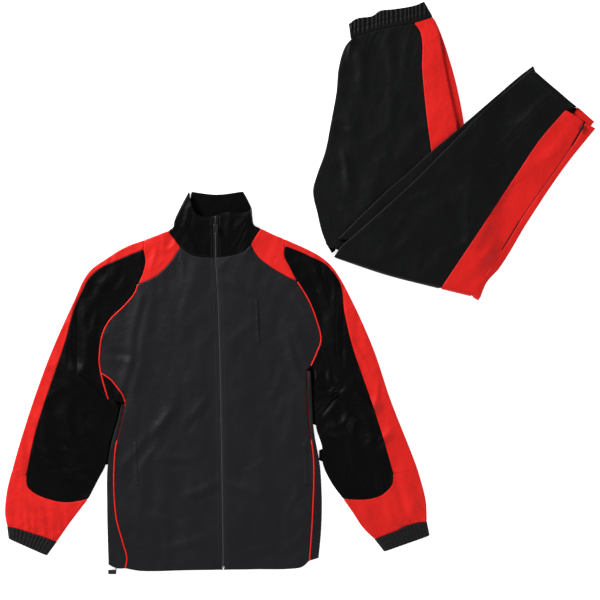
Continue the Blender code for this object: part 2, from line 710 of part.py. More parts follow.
def make_side_panels():
    right = Outline(
        bottom=[(seam("right_side_hem"), FREE)],
        right=[(seam("right_side"), PIPED)],
        top=[(straight((-377, -245), (-368, -240), 2), PLAIN)],
        left=[(seam("right_outline"), 0)],
    )
    cloth("right_side_panel", [panel_grid(right, jacket_height, {"left": (2.4, FOLD_LIP, to_floor)})], "black cloth")
    left = Outline(
        bottom=[(seam("left_side_hem"), FREE)],
        right=[(seam("left_outline"), 0)],
        top=[(straight((12, -173), (21, -173), 2), PLAIN)],
        left=[(seam("left_side"), PIPED)],
    )
    cloth("left_side_panel", [panel_grid(left, jacket_height, {"right": (2.4, FOLD_LIP, to_floor)})], "black cloth")
    front_side, branch = seam("right_gusset"), seam("-right_branch")
    for line in (front_side, branch):
        line[-1] = (line[-1] + line[-2]) / 2
    gusset = Outline(
        bottom=[(straight((-404, -232), (-368, -240), 3), PLAIN)],
        right=[(front_side, PIPED)],
        top=[(straight(branch[-1], front_side[-1], 3), PLAIN)],
        left=[(branch, PIPED)],
    )
    cloth("right_underarm_gusset", [panel_grid(gusset, jacket_height, {})], "black cloth")


def make_inserts():
    right = Outline(
        bottom=[(seam("right_insert_front"), PLAIN)],
        right=[(seam("-right_neck"), PLAIN)],
        top=[(seam("-right_shoulder"), 0)],
        left=[(seam("right_insert_sleeve"), PIPED), (seam("right_cap"), PLAIN)],
    )
    cloth("right_shoulder_insert", [panel_grid(right, jacket_height, {"top": JACKET_FOLD})], "red cloth")
    left = Outline(
        bottom=[(seam("-left_insert_front"), PLAIN)],
        right=[(seam("left_insert_sleeve"), PIPED), (seam("left_cap"), PLAIN)],
        top=[(seam("left_shoulder"), 0)],
        left=[(seam("-left_neck"), PLAIN)],
    )
    cloth("left_shoulder_insert", [panel_grid(left, jacket_height, {"top": JACKET_FOLD})], "red cloth")


def make_sleeves():
    right = Outline(
        bottom=[(seam("right_stripe_end"), PLAIN)],
        right=[(seam("-right_underarm"), 0)],
        top=[(seam("-right_insert_sleeve"), PIPED), (seam("-right_armhole"), PIPED),
             (seam("right_branch"), PIPED),
             (seam("right_pit"), FREE)],
        left=[(seam("-right_stripe"), PLAIN)],
    )
    cloth("right_sleeve_front", [panel_grid(right, jacket_height, {"right": JACKET_FOLD})], "black cloth")
    left = Outline(
        bottom=[(seam("-left_stripe_end"), PLAIN)],
        right=[(seam("-left_stripe"), PLAIN)],
        top=[(seam("left_armhole"), PIPED), (seam("left_insert_sleeve"), PIPED)],
        left=[(seam("-left_underarm"), 0)],
    )
    cloth("left_sleeve_front", [panel_grid(left, jacket_height, {"left": JACKET_FOLD})], "black cloth")

    end = straight((-606, -381), (-576, -390), 2)
    stripe = Outline(
        bottom=[(end, 0)],
        right=[(seam("-right_stripe"), PLAIN)],
        top=[(seam("-right_cap"), PLAIN)],
        left=[(across_from(seam("-right_stripe"), "-right_sleeve_outline"), 0)],
    )
    lower = Outline(
        bottom=[(seam("right_cuff_seam"), PLAIN)],
        right=[(seam("-right_forearm"), 0)],
        top=[(end, 0), (seam("right_stripe_end"), PLAIN)],
        left=[(seam("-right_sleeve_low"), 0)],
    )
    upper = panel_grid(stripe, jacket_height, {"left": STRIPE_FOLD})
    lower = panel_grid(lower, jacket_height, {"left": JACKET_FOLD, "right": JACKET_FOLD})
    lower[-1, : upper.shape[1]] = upper[0]
    cloth("right_sleeve_stripe", [upper, lower], "red cloth", weld=WELD)
    end = straight((194, -388), (244, -377), 2)
    stripe = Outline(
        bottom=[(end, 0)],
        right=[(across_from(seam("-left_stripe"), "-left_sleeve_outline"), 0)],
        top=[(seam("left_cap"), PLAIN)],
        left=[(seam("-left_stripe"), PLAIN)],
    )
    lower = Outline(
        bottom=[(seam("-left_cuff_seam"), PLAIN)],
        right=[(seam("-left_sleeve_low"), 0)],
        top=[(seam("-left_stripe_end"), PLAIN), (end, 0)],
        left=[(seam("-left_forearm"), 0)],
    )
    upper = panel_grid(stripe, jacket_height, {"right": STRIPE_FOLD})
    lower = panel_grid(lower, jacket_height, {"left": JACKET_FOLD, "right": JACKET_FOLD})
    lower[-1, -upper.shape[1] :] = upper[0]
    cloth("left_sleeve_stripe", [upper, lower], "red cloth", weld=WELD)


def make_backs():
    under = FOLD_WIDTH + FOLD_LIP + 1.5
    left_armhole = seam("left_armhole")[1:]
    body = Outline(
        bottom=[(straight((-393, -579), (26, -565), 9), FREE)],
        right=[
            (seam("left_outline", 8) - np.array([under, 0]), 0), (straight((10.5, -173), left_armhole[0], 1), PLAIN),
            (left_armhole, PLAIN), (straight((-7, 14), (-35, 92), 2), PLAIN),
        ],
        top=[(straight((-328, 92), (-258, 111), 2), PLAIN), (straight((-258, 111), (-108, 111), 5), PLAIN),
             (straight((-108, 111), (-35, 92), 2), PLAIN)],
        left=[
            (seam("right_outline", 8) + np.array([under, 0]), 0), (straight((-362, -238), (-408, -221), 1), PLAIN),
            (straight((-408, -222), (-420, -177), 1), PLAIN), (seam("right_armhole", 5), PLAIN),
            (straight((-342, 8), (-328, 92), 2), PLAIN),
        ],
    )
    flat_back("back_panel", body)
    right = Outline(
        bottom=[(seam("right_cuff_seam", 8), PLAIN)],
        right=[(seam("-right_forearm", 3), under), (seam("-right_underarm", 7), under)],
        top=[(straight((-328, 102), (-342, 8), 2), PLAIN), (seam("-right_armhole", 5), PLAIN),
             (straight((-420, -177), (-412, -222), 1), PLAIN)],
        left=[(seam("-right_sleeve_low", 2), under), (seam("-right_sleeve_outline", 8), under)],
    )
    flat_back("right_sleeve_back", right)
    left_underarm = seam("-left_underarm", 7)
    left_underarm[-1] = left_armhole[0]
    left = Outline(
        bottom=[(seam("-left_cuff_seam", 8), PLAIN)],
        right=[(seam("-left_sleeve_low", 2), under), (seam("-left_sleeve_outline", 8), under)],
        top=[(left_armhole, PLAIN), (straight((-7, 14), (-35, 104), 2), PLAIN)],
        left=[(seam("-left_forearm", 3), under), (left_underarm, under)],
    )
    flat_back("left_sleeve_back", left)


def make_collar():
    right = Outline(
        bottom=[(seam("right_neck"), PLAIN), (seam("right_collar_seam"), PLAIN)],
        right=[(seam("zip_collar"), ZIPPED)],
        top=[(seam("right_collar_top"), FREE)],
        left=[(seam("right_collar_side"), 0)],
    )
    cloth("right_collar_front", [panel_grid(right, collar_height, {"left": (4.0, 2.0, to_floor)})], "black cloth")
    left = Outline(
        bottom=[(seam("-left_collar_seam"), PLAIN), (seam("-left_neck"), PLAIN)],
        right=[(seam("left_collar_side"), 0)],
        top=[(seam("-left_collar_top"), FREE)],
        left=[(seam("zip_collar"), ZIPPED)],
    )
    cloth("left_collar_front", [panel_grid(left, collar_height, {"right": (4.0, 2.0, to_floor)})], "black cloth")
    back = Outline(
        bottom=[(straight((-258, 114.5), (-108, 114.5), 8), FREE)],
        right=[(straight((-115.5, 114.5), (-114, 160), 3), 0), (straight((-114, 160), (-124, 203), 3), 0)],
        top=[(smooth_line(((-235, 204), (-177, 197), (-123, 203)), 8), FREE)],
        left=[(straight((-258, 114.5), (-235, 204), 6), 8.5)],
    )
    cloth("collar_back", [panel_grid(back, lambda x, y, v: FLOOR_LAYER + 4.0 * v * v, {})], "black cloth")


def make_piping():
    armhole = np.vstack([seam("right_gusset"), seam("right_armhole")[1:]])
    piping("right_armhole_piping", armhole, jacket_height)
    branch = seam("right_branch")
    branch[0] = branch[0] + 0.3 * (branch[1] - branch[0])
    branch[-1] = branch[-1] + 0.15 * (branch[-2] - branch[-1])
    piping("right_gusset_piping", branch, jacket_height)
    piping("left_armhole_piping", seam("left_armhole"), jacket_height)
    side = seam("right_side")
    piping("right_side_piping", np.vstack([side[:-1], (side[-1] + 0.15 * (side[-2] - side[-1]))[None]]), jacket_height)
    piping("left_side_piping", seam("left_side"), jacket_height)


def make_front_zip():
    body, collar = seam("zip_body"), seam("zip_collar")
    low = [(x, y, jacket_height(x, y)) for x, y in body[:-1]]
    high = [(x, y, collar_height(x, y, v)) for (x, y), v in zip(collar, np.linspace(0, 1, len(collar)))]
    half, flange = CHAIN_WIDTH / 2, TAPE_WIDTH / 2
    under = -WALL / 2 - SEAM_GAP
    section = (
        (half, 0.5), (half, under), (flange, under), (flange, under - TAPE_THICKNESS),
        (-flange, under - TAPE_THICKNESS), (-flange, under), (-half, under), (-half, 0.5),
    )
    sweep("front_zip", low + high, section, "black cloth")
    x, y = ZIP_SLIDER_AT
    share = (y - collar[0][1]) / (collar[-1][1] - collar[0][1])
    base = collar_height(x, y, share) + WALL / 2 + 2 * SEAM_GAP
    zip_pull("front_zip", ZIP_SLIDER_AT, base, ZIP_TAB_HEADING, ZIP_SLOPE, SLIDER, PULL_TAB)
    x, y = body[0]
    stop_top = jacket_height(x, y) + WALL / 2
    box("front_zip_stop", (5.0, 4.0, 2.0), "bright metal", 0.5, (x, y + 6, stop_top + SEAM_GAP + 1.0))


def make_trims():
    for name, trim in WELTS.items():
        start, end = np.array((trim.x1, trim.y1), float), np.array((trim.x2, trim.y2), float)
        along = (end - start) / np.linalg.norm(end - start)
        side = np.array((along[1], -along[0])) * trim.width / 2
        left, right = sorted((side, -side), key=lambda value: value[0])
        sides = Outline(
            bottom=[(straight(end + left, end + right, 2), 0)],
            right=[(straight(end + right, start + right, 4), 0)],
            top=[(straight(start + left, start + right, 2), 0)],
            left=[(straight(end + left, start + left, 4), 0)],
        )
        over = WALL + SEAM_GAP + 0.3
        cloth(name, [panel_grid(sides, lambda x, y, v: jacket_height(x, y) + over, {})], "black cloth")
    x, y = STOPPER_AT
    box("hem_cord_stopper", STOPPER, "black plastic", 1.6, (x, y, STOPPER[2] / 2))
    middle = 2 * WALL / 2 + SEAM_GAP + CORD_RADIUS + 0.1
    section = [
        (CORD_RADIUS * math.cos(a), CORD_RADIUS * math.sin(a)) for a in np.linspace(0, 2 * math.pi, 8, endpoint=False)
    ]
    start = (x + 8.0, y + STOPPER[1] / 2 + SEAM_GAP, middle)
    sweep("hem_cord", [start, (x + 8.0, y + 16, middle), (x + 8.0, y + 26, middle)], section, "black cloth")


def make_cuffs():
    cuff("right_cuff", "right_cuff_seam", ((-614, -524), (-533, -560)), CUFF_WAVES)
    cuff("left_cuff", "-left_cuff_seam", ((174, -552), (270, -518)), CUFF_WAVES)


KNEE_INSET = KNEE_FOLD_WIDTH + 8.0 + 1.5
LOW_RINGS = ((0.0, 1.4), (1.3, 0.0), (2.6, 0.2), (3.0, 1.4), (3.6, 0.3), (5.2, 1.8))
TOP_FOLD_INSET = FOLD_WIDTH + 3.0 + 2.0
GATHERED = 0.4


def on_under_layer(x, y):
    return UNDER_TOP + 2.0


def on_under_thigh(x, y):
    return UNDER_TOP + 1.8


def under_knee(x, y):
    return FLOOR_LAYER - leg_shift(x)


def make_thighs():
    tuck = 12.0
    core = Outline(
        bottom=[(seam("knee_black", 6), KNEE_INSET), (seam("knee_stripe", 1), KNEE_INSET)],
        right=[(seam("thigh_fold", 9), tuck + 1.0), (seam("waist_right", 1), tuck + 1.0)],
        top=[(resample(seam("waist_edge"), 7), 1.5)],
        left=[(seam("thigh_outline", 9), 1.2), (seam("waist_left", 1), 1.2)],
    )
    rings = LOW_RINGS + ((5.2, TOP_FOLD_INSET), (7.4, TOP_FOLD_INSET))
    layered_solid("thigh_layers", core, rings, 8.3, "black cloth")
    front = Outline(
        bottom=[(seam("knee_black"), KNEE_INSET)],
        right=[(seam("thigh_stripe"), PLAIN)],
        top=[(seam("waist_seam_black"), GATHERED)],
        left=[(seam("thigh_outline"), 0)],
    )
    fold = (FOLD_WIDTH, 3.0, on_under_thigh)
    cloth("thigh_panel", [panel_grid(front, thigh_height, {"left": fold})], "black cloth")
    stripe = Outline(
        bottom=[(seam("knee_stripe"), KNEE_INSET)],
        right=[(seam("thigh_fold"), 0)],
        top=[(seam("waist_seam_red"), GATHERED)],
        left=[(seam("thigh_stripe"), PLAIN)],
    )
    cloth("thigh_stripe", [panel_grid(stripe, thigh_height, {"right": fold})], "red cloth")
    under_right = seam("under_thigh_outline")
    inner = seam("thigh_fold", 9) - np.array([tuck, 0])
    under = Outline(
        bottom=[(straight(inner[0], under_right[0], 2), KNEE_INSET)],
        right=[(under_right, 0)],
        top=[(straight(inner[-1], under_right[-1], 2), PLAIN)],
        left=[(inner, 0)],
    )
    cloth("under_thigh_stripe", [panel_grid(under, under_thigh_height, {"right": (2.2, 3.0, to_floor)})], "red cloth")


def make_waistband():
    band = Outline(
        bottom=[(seam("waist_seam"), GATHERED)],
        right=[(seam("waist_right"), 0)],
        top=[(seam("waist_edge"), FREE)],
        left=[(seam("waist_left"), 0)],
    )
    start, end = TROUSER_SEAMS["waist_seam"].points[0], TROUSER_SEAMS["waist_seam"].points[-1]

    def height(x, y, v):
        share = (x - start[0]) / (end[0] - start[0])
        return LEG_TOP + 0.9 + WAIST_WAVE_HEIGHT * math.sin(2 * math.pi * WAIST_WAVES * share) * min(1, v * 3)

    fold = (FOLD_WIDTH, 2.0, on_under_thigh)
    cloth("waistband", [panel_grid(band, height, {"left": fold, "right": fold})], "black cloth")


def make_lower_legs():
    tuck = 22.0
    core = Outline(
        bottom=[(seam("knee_black", 5), KNEE_INSET + 3), (seam("knee_stripe", 1), KNEE_INSET + 3),
                (seam("knee_end", 1), KNEE_INSET + 3)],
        right=[(seam("leg_outline", 8), 2.2)],
        top=[(seam("hem_black", 5), 4.0), (seam("hem_stripe", 1), 34.0), (seam("hem_end", 1), 34.0)],
        left=[(seam("inseam", 8), tuck)],
    )
    rings = LOW_RINGS + ((5.2, TOP_FOLD_INSET), (6.4, TOP_FOLD_INSET))
    layered_solid("lower_leg_layers", core, rings, 8.0, "black cloth", lifted=True)
    knee = (KNEE_FOLD_WIDTH, 8.0, under_knee)
    edge = (FOLD_WIDTH, 3.0, on_under_layer)
    black = Outline(
        bottom=[(seam("knee_black"), 0)],
        right=[(seam("leg_stripe"), PLAIN), (straight((554, 374), (578, 380), 1), FREE)],
        top=[(seam("hem_black"), FREE)],
        left=[(seam("inseam"), 0)],
    )
    cloth("lower_leg_panel", [panel_grid(black, leg_height, {"bottom": knee, "left": edge})], "black cloth", lifted=True)
    slit = seam("leg_slit")
    sewn = 5
    inner = Outline(
        bottom=[(seam("knee_stripe"), 0)],
        right=[(slit[: sewn + 1], 0), (slit[sewn:], ZIPPED)],
        top=[(seam("hem_stripe"), FREE)],
        left=[(seam("leg_stripe"), PLAIN)],
    )
    outer = Outline(
        bottom=[(seam("knee_end"), 0)],
        right=[(seam("leg_outline"), 0)],
        top=[(seam("hem_end"), FREE)],
        left=[(slit[: sewn + 1], 0), (slit[sewn:], ZIPPED)],
    )
    inner = panel_grid(inner, leg_height, {"bottom": knee})
    outer = panel_grid(outer, leg_height, {"bottom": knee, "right": edge})
    joined = len(FOLD_ANGLES) + 1 + sewn + 1
    outer[:joined, 0] = inner[:joined, -1]
    cloth("leg_stripe", [inner, outer], "red cloth", weld=WELD, lifted=True)
    under_edge = seam("under_inseam")
    covered = resample(seam("inseam", 48)[5:], 10) + np.array([9.0, -9.0])
    under = Outline(
        bottom=[(covered, 0)],
        right=[(straight(covered[-1], under_edge[-1], 2), FREE)],
        top=[(under_edge, 0)],
        left=[(straight(covered[0], under_edge[0], 2), 0)],
    )
    fold = (2.2, 2.0, to_floor)
    cloth("under_leg_edge", [panel_grid(under, under_leg_height, {"top": fold})], "black cloth", lifted=True)
    hem = Outline(
        bottom=[(seam("under_hem_tuck"), 0)],
        right=[(straight((600, 330), (615, 350), 3), 0)],
        top=[(seam("under_hem"), 0)],
        left=[(straight((564, 362), (581, 380), 3), 0)],
    )
    cloth("under_leg_hem", [panel_grid(hem, under_leg_height, {})], "red cloth")


def make_ankle_zip():
    slit = seam("leg_slit")[6:]
    half = CHAIN_WIDTH / 2
    path = [(x, y, leg_height(x, y)) for x, y in slit]
    section = ((half, 0.3), (half, -1.0), (-half, -1.0), (-half, 0.3))
    sweep("ankle_zip", path, section, "black cloth")
    x, y = ANKLE_SLIDER_AT
    base = leg_height(x, y) + WALL / 2 + SEAM_GAP
    zip_pull("ankle_zip", ANKLE_SLIDER_AT, base, ANKLE_TAB_HEADING, 0.0, ANKLE_SLIDER, ANKLE_PULL_TAB)


for thing in list(bpy.data.objects):
    bpy.data.objects.remove(thing, do_unlink=True)
PARTS = bpy.data.collections.new("Tracksuit")
CUTTERS = bpy.data.collections.new("Cutters")
bpy.context.scene.collection.children.link(PARTS)
bpy.context.scene.collection.children.link(CUTTERS)
CUTTERS.hide_render = True

make_fronts()
make_side_panels()
make_inserts()
make_sleeves()
make_backs()
make_collar()
make_piping()
make_front_zip()
make_trims()
make_cuffs()
make_thighs()
make_waistband()
make_lower_legs()
make_ankle_zip()

for piece in PARTS.objects:
    if piece.parent is None:
        piece.location.x -= MIDDLE[0] * TO_METRES
        piece.location.y -= MIDDLE[1] * TO_METRES
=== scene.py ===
"""The tracksuit's looks: cloth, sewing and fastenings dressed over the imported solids.

Tables are in millimetres, as read off the laid-out suit: X to the viewer's right, Y towards the collar.
"""

import math
from collections import namedtuple

import bmesh
import bpy
import numpy as np
from mathutils import Matrix, Vector, noise
from mathutils.bvhtree import BVHTree


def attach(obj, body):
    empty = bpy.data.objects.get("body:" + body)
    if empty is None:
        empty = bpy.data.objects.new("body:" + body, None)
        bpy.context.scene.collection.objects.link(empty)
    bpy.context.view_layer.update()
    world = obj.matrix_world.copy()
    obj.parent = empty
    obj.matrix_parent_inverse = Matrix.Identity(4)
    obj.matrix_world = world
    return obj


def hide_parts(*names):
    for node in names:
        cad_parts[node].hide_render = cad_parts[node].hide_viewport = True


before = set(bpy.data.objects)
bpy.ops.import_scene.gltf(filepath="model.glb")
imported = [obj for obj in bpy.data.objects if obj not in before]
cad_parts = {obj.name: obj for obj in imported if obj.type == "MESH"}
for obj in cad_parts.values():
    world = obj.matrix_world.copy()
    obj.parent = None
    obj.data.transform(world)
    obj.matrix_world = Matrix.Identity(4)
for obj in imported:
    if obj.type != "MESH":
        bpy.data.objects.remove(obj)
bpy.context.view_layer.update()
bpy.ops.object.select_all(action="DESELECT")

MM = 0.001
MIDDLE = (-2.2, 0.6)
CAMERA_HEIGHT = 3.5
CAMERA_LENS = 100.0
CAMERA_AT = (0.0001, -0.0248)

# Cloth
CLOTH = 0.9
WALL = 1.5
CELL = 4.2
FOLD_WIDTH = 3.0
FOLD_LIP = 6.0
ROLL_ANGLES = (18, 36, 55, 75, 95, 120, 150, 180)
JACKET_TOP = 5.85 + WALL / 2
JACKET_LOWEST = 3.0
COLLAR_RISE = 11.0
UNDER_TOP = 4.6 + WALL / 2
LEG_TOP = 9.65 + WALL / 2
LEG_LOWEST = 9.4
LEG_STEP = 10.7
LEG_STEPS = ((374.0, 1.0), (388.0, 0.8), (412.0, 0.2), (426.0, 0.0))
KNEE_FOLD_WIDTH = 9.0
CREASE_DEPTH = 1.9
CHAIN_WIDTH = 2.0
PIPING_RADIUS = 1.5

# Sewing
STITCH_PITCH = 3.3
STITCH_LENGTH = 2.3
THREAD_WIDTH = 0.55
TOOTH_PITCH = 2.1

# Every seam and outline as a smooth line through a few points
JACKET_SEAMS = {
    "zip_body": ((-163, -590), (-166, -358), (-169, -203), (-173, -49), (-179, 65)),
    "zip_collar": ((-179, 65), (-179, 151)),
    "right_hem": ((-368, -587), (-340, -592), (-309, -593), (-233, -591), (-163, -590)),
    "right_side_hem": ((-404, -579), (-385, -587), (-368, -587)),
    "right_side": ((-368, -587), (-365, -564), (-373, -534), (-388, -476), (-391, -357), (-386, -319),
                            (-376, -276), (-368, -240)),
    "right_outline": ((-404, -579), (-407, -457), (-406, -377), (-397, -320), (-385, -278),
                               (-377, -245)),
    "right_gusset": ((-368, -240), (-374, -223), (-387, -205), (-400, -190), (-420, -177)),
    "right_armhole": ((-420, -177), (-423, -148), (-414, -90), (-398, -63), (-371, -37), (-347, -7),
                              (-342, 8)),
    "right_branch": ((-420, -177), (-412, -205), (-404, -232)),
    "right_insert_front": ((-342, 8), (-304, 26), (-273, 56), (-253, 87)),
    "right_insert_sleeve": ((-342, 8), (-331, 33), (-326, 56), (-330, 82)),
    "right_cap": ((-330, 82), (-328, 102)),
    "right_shoulder": ((-279, 121), (-304, 111), (-328, 102)),
    "right_neck": ((-279, 121), (-265, 102), (-253, 87)),
    "right_collar_seam": ((-253, 87), (-229, 70), (-202, 65), (-179, 65)),
    "right_collar_side": ((-279, 121), (-268, 129), (-266, 140), (-251, 173), (-235, 203)),
    "right_collar_top": ((-235, 203), (-228, 175), (-221, 159), (-202, 149), (-179, 151)),
    "right_stripe": ((-330, 82), (-376, 63), (-426, 39), (-445, 20), (-459, -7), (-473, -36),
                              (-494, -110), (-508, -152), (-544, -259), (-559, -310), (-576, -390)),
    "right_stripe_end": ((-576, -390), (-573, -416), (-559, -429), (-532, -441), (-500, -448),
                                 (-473, -447), (-446, -441)),
    "right_sleeve_outline": ((-328, 102), (-368, 87), (-412, 60), (-441, 39), (-456, 18), (-472, -17),
                                      (-523, -131), (-561, -234), (-588, -318), (-606, -381)),
    "right_sleeve_low": ((-606, -381), (-616, -419), (-621, -471), (-617, -498)),
    "right_cuff_seam": ((-617, -498), (-594, -504), (-559, -515), (-512, -531)),
    "right_pit": ((-404, -232), (-391, -236), (-381, -246)),
    "right_underarm": ((-381, -246), (-388, -278), (-400, -320), (-410, -371), (-426, -402),
                                (-446, -441)),
    "right_forearm": ((-446, -441), (-485, -492), (-512, -531)),
    "left_hem": ((-163, -590), (-94, -589), (-23, -588), (2, -584), (18, -571)),
    "left_side_hem": ((18, -571), (37, -565)),
    "left_side": ((18, -571), (24, -482), (27, -373), (25, -339), (18, -297), (14, -226), (12, -173)),
    "left_outline": ((37, -565), (42, -513), (44, -459), (43, -417), (40, -373), (27, -297),
                              (23, -226), (21, -173)),
    "left_armpit": ((12, -173), (21, -162)),
    "left_armhole": ((21, -162), (34, -133), (42, -108), (34, -70), (16, -24), (-7, 14)),
    "left_insert_front": ((-7, 14), (-27, 24), (-64, 46), (-89, 66), (-105, 91)),
    "left_insert_sleeve": ((-7, 14), (-15, 28), (-24, 46), (-35, 68), (-34, 89)),
    "left_cap": ((-34, 89), (-35, 104)),
    "left_shoulder": ((-84, 126), (-59, 114), (-35, 104)),
    "left_neck": ((-84, 126), (-97, 106), (-105, 91)),
    "left_collar_seam": ((-105, 91), (-120, 77), (-162, 66), (-179, 65)),
    "left_collar_side": ((-84, 126), (-98, 133), (-102, 152), (-105, 167)),
    "left_collar_top": ((-105, 167), (-113, 159), (-136, 159), (-158, 159), (-179, 151)),
    "left_stripe": ((-34, 89), (-2, 77), (22, 66), (50, 52), (71, 30), (82, 12), (91, -49),
                             (108, -121), (147, -234), (170, -305), (194, -388)),
    "left_stripe_end": ((194, -388), (191, -411), (174, -430), (151, -440), (125, -443), (88, -441)),
    "left_sleeve_outline": ((-35, 104), (16, 81), (44, 65), (65, 46), (84, 18), (102, -16),
                                     (127, -68), (155, -135), (188, -234), (231, -343), (244, -377)),
    "left_sleeve_low": ((244, -377), (251, -401), (262, -446), (264, -488)),
    "left_cuff_seam": ((264, -488), (222, -497), (193, -511), (154, -526)),
    "left_underarm": ((21, -162), (26, -173), (27, -226), (32, -293), (44, -333), (46, -369),
                               (64, -408), (88, -441)),
    "left_forearm": ((88, -441), (109, -471), (129, -501), (154, -526)),
}
TROUSER_SEAMS = {
    "waist_edge": ((100, 554), (116, 565), (150, 571), (164, 581), (195, 585), (239, 593), (258, 601)),
    "waist_seam": ((104, 522), (149, 538), (195, 549), (237, 556), (276, 569)),
    "waist_seam_black": ((104, 522), (149, 538), (195, 549), (237, 556)),
    "waist_seam_red": ((237, 556), (276, 569)),
    "waist_left": ((104, 522), (100, 554)),
    "waist_right": ((276, 569), (258, 601)),
    "thigh_outline": ((68, 65), (57, 85), (43, 120), (35, 154), (25, 205), (33, 237), (50, 285),
                               (63, 350), (74, 411), (79, 463), (92, 506), (104, 522)),
    "thigh_stripe": ((279, 3), (279, 186), (273, 287), (265, 345), (254, 455), (250, 537), (237, 556)),
    "thigh_fold": ((351, -14), (349, 102), (340, 228), (328, 335), (309, 427), (293, 511), (288, 541),
                            (276, 569)),
    "under_thigh_outline": ((361, -14), (357, 102), (351, 228), (342, 344), (330, 411), (313, 476),
                                     (291, 541), (280, 565)),
    "thigh_knee_black": ((68, 65), (178, 28), (279, 3)),
    "thigh_knee_stripe": ((279, 3), (351, -14)),
    "knee_black": ((68, 65), (178, 28), (291, -1)),
    "knee_stripe": ((291, -1), (357, -17)),
    "knee_end": ((357, -17), (372, -26)),
    "under_inseam": ((76, 103), (178, 203), (222, 241), (273, 287), (328, 333), (403, 398),
                              (464, 450), (487, 467)),
    "inseam": ((68, 65), (84, 88), (109, 110), (230, 219), (302, 291), (376, 366), (484, 460)),
    "leg_stripe": ((291, -1), (378, 129), (456, 246), (500, 311), (554, 374)),
    "leg_slit": ((357, -17), (416, 72), (460, 144), (580, 320), (594, 348)),
    "leg_outline": ((372, -26), (388, 12), (415, 42), (474, 138), (552, 254), (612, 329), (617, 335)),
    "hem_black": ((484, 460), (554, 400), (578, 380)),
    "hem_stripe": ((554, 374), (573, 363), (594, 348)),
    "hem_end": ((594, 348), (617, 335)),
    "under_hem": ((581, 380), (615, 350)),
    "under_hem_tuck": ((564, 362), (600, 330)),
}


# The suit's largest folds
Fold = namedtuple("Fold", "x1 y1 x2 y2 half_width rise")
JACKET_FOLDS = (
    Fold(-466, -180, -412, -222, 15, 6.0),
    Fold(-447, -301, -408, -333, 14, 4.5),
    Fold(-552, -346, -485, -381, 14, 4.0),
    Fold(-452, -50, -456, -165, 14, 3.5),
    Fold(-325, -25, -355, -200, 18, 4.0),
    Fold(-300, -300, -275, -262, 16, 3.0),
    Fold(70, -10, 78, -165, 16, 4.5),
    Fold(36, -195, 87, -212, 16, 7.0),
    Fold(60, -300, 120, -262, 14, 4.5),
    Fold(106, -236, 155, -245, 13, 4.0),
    Fold(150, -327, 180, -305, 13, 4.0),
    Fold(-17, -100, 16, -205, 18, 4.0),
    Fold(-138, -413, -96, -432, 16, 3.0),
)
LEG_FOLDS = (
    Fold(353, 194, 354, 98, 14, 2.5),
    Fold(529, 402, 403, 272, 14, 2.5),
    Fold(92, 276, 101, 215, 14, 2.5),
    Fold(65, 345, 101, 337, 14, 2.5),
    Fold(105, 520, 120, 484, 12, 2.5),
)


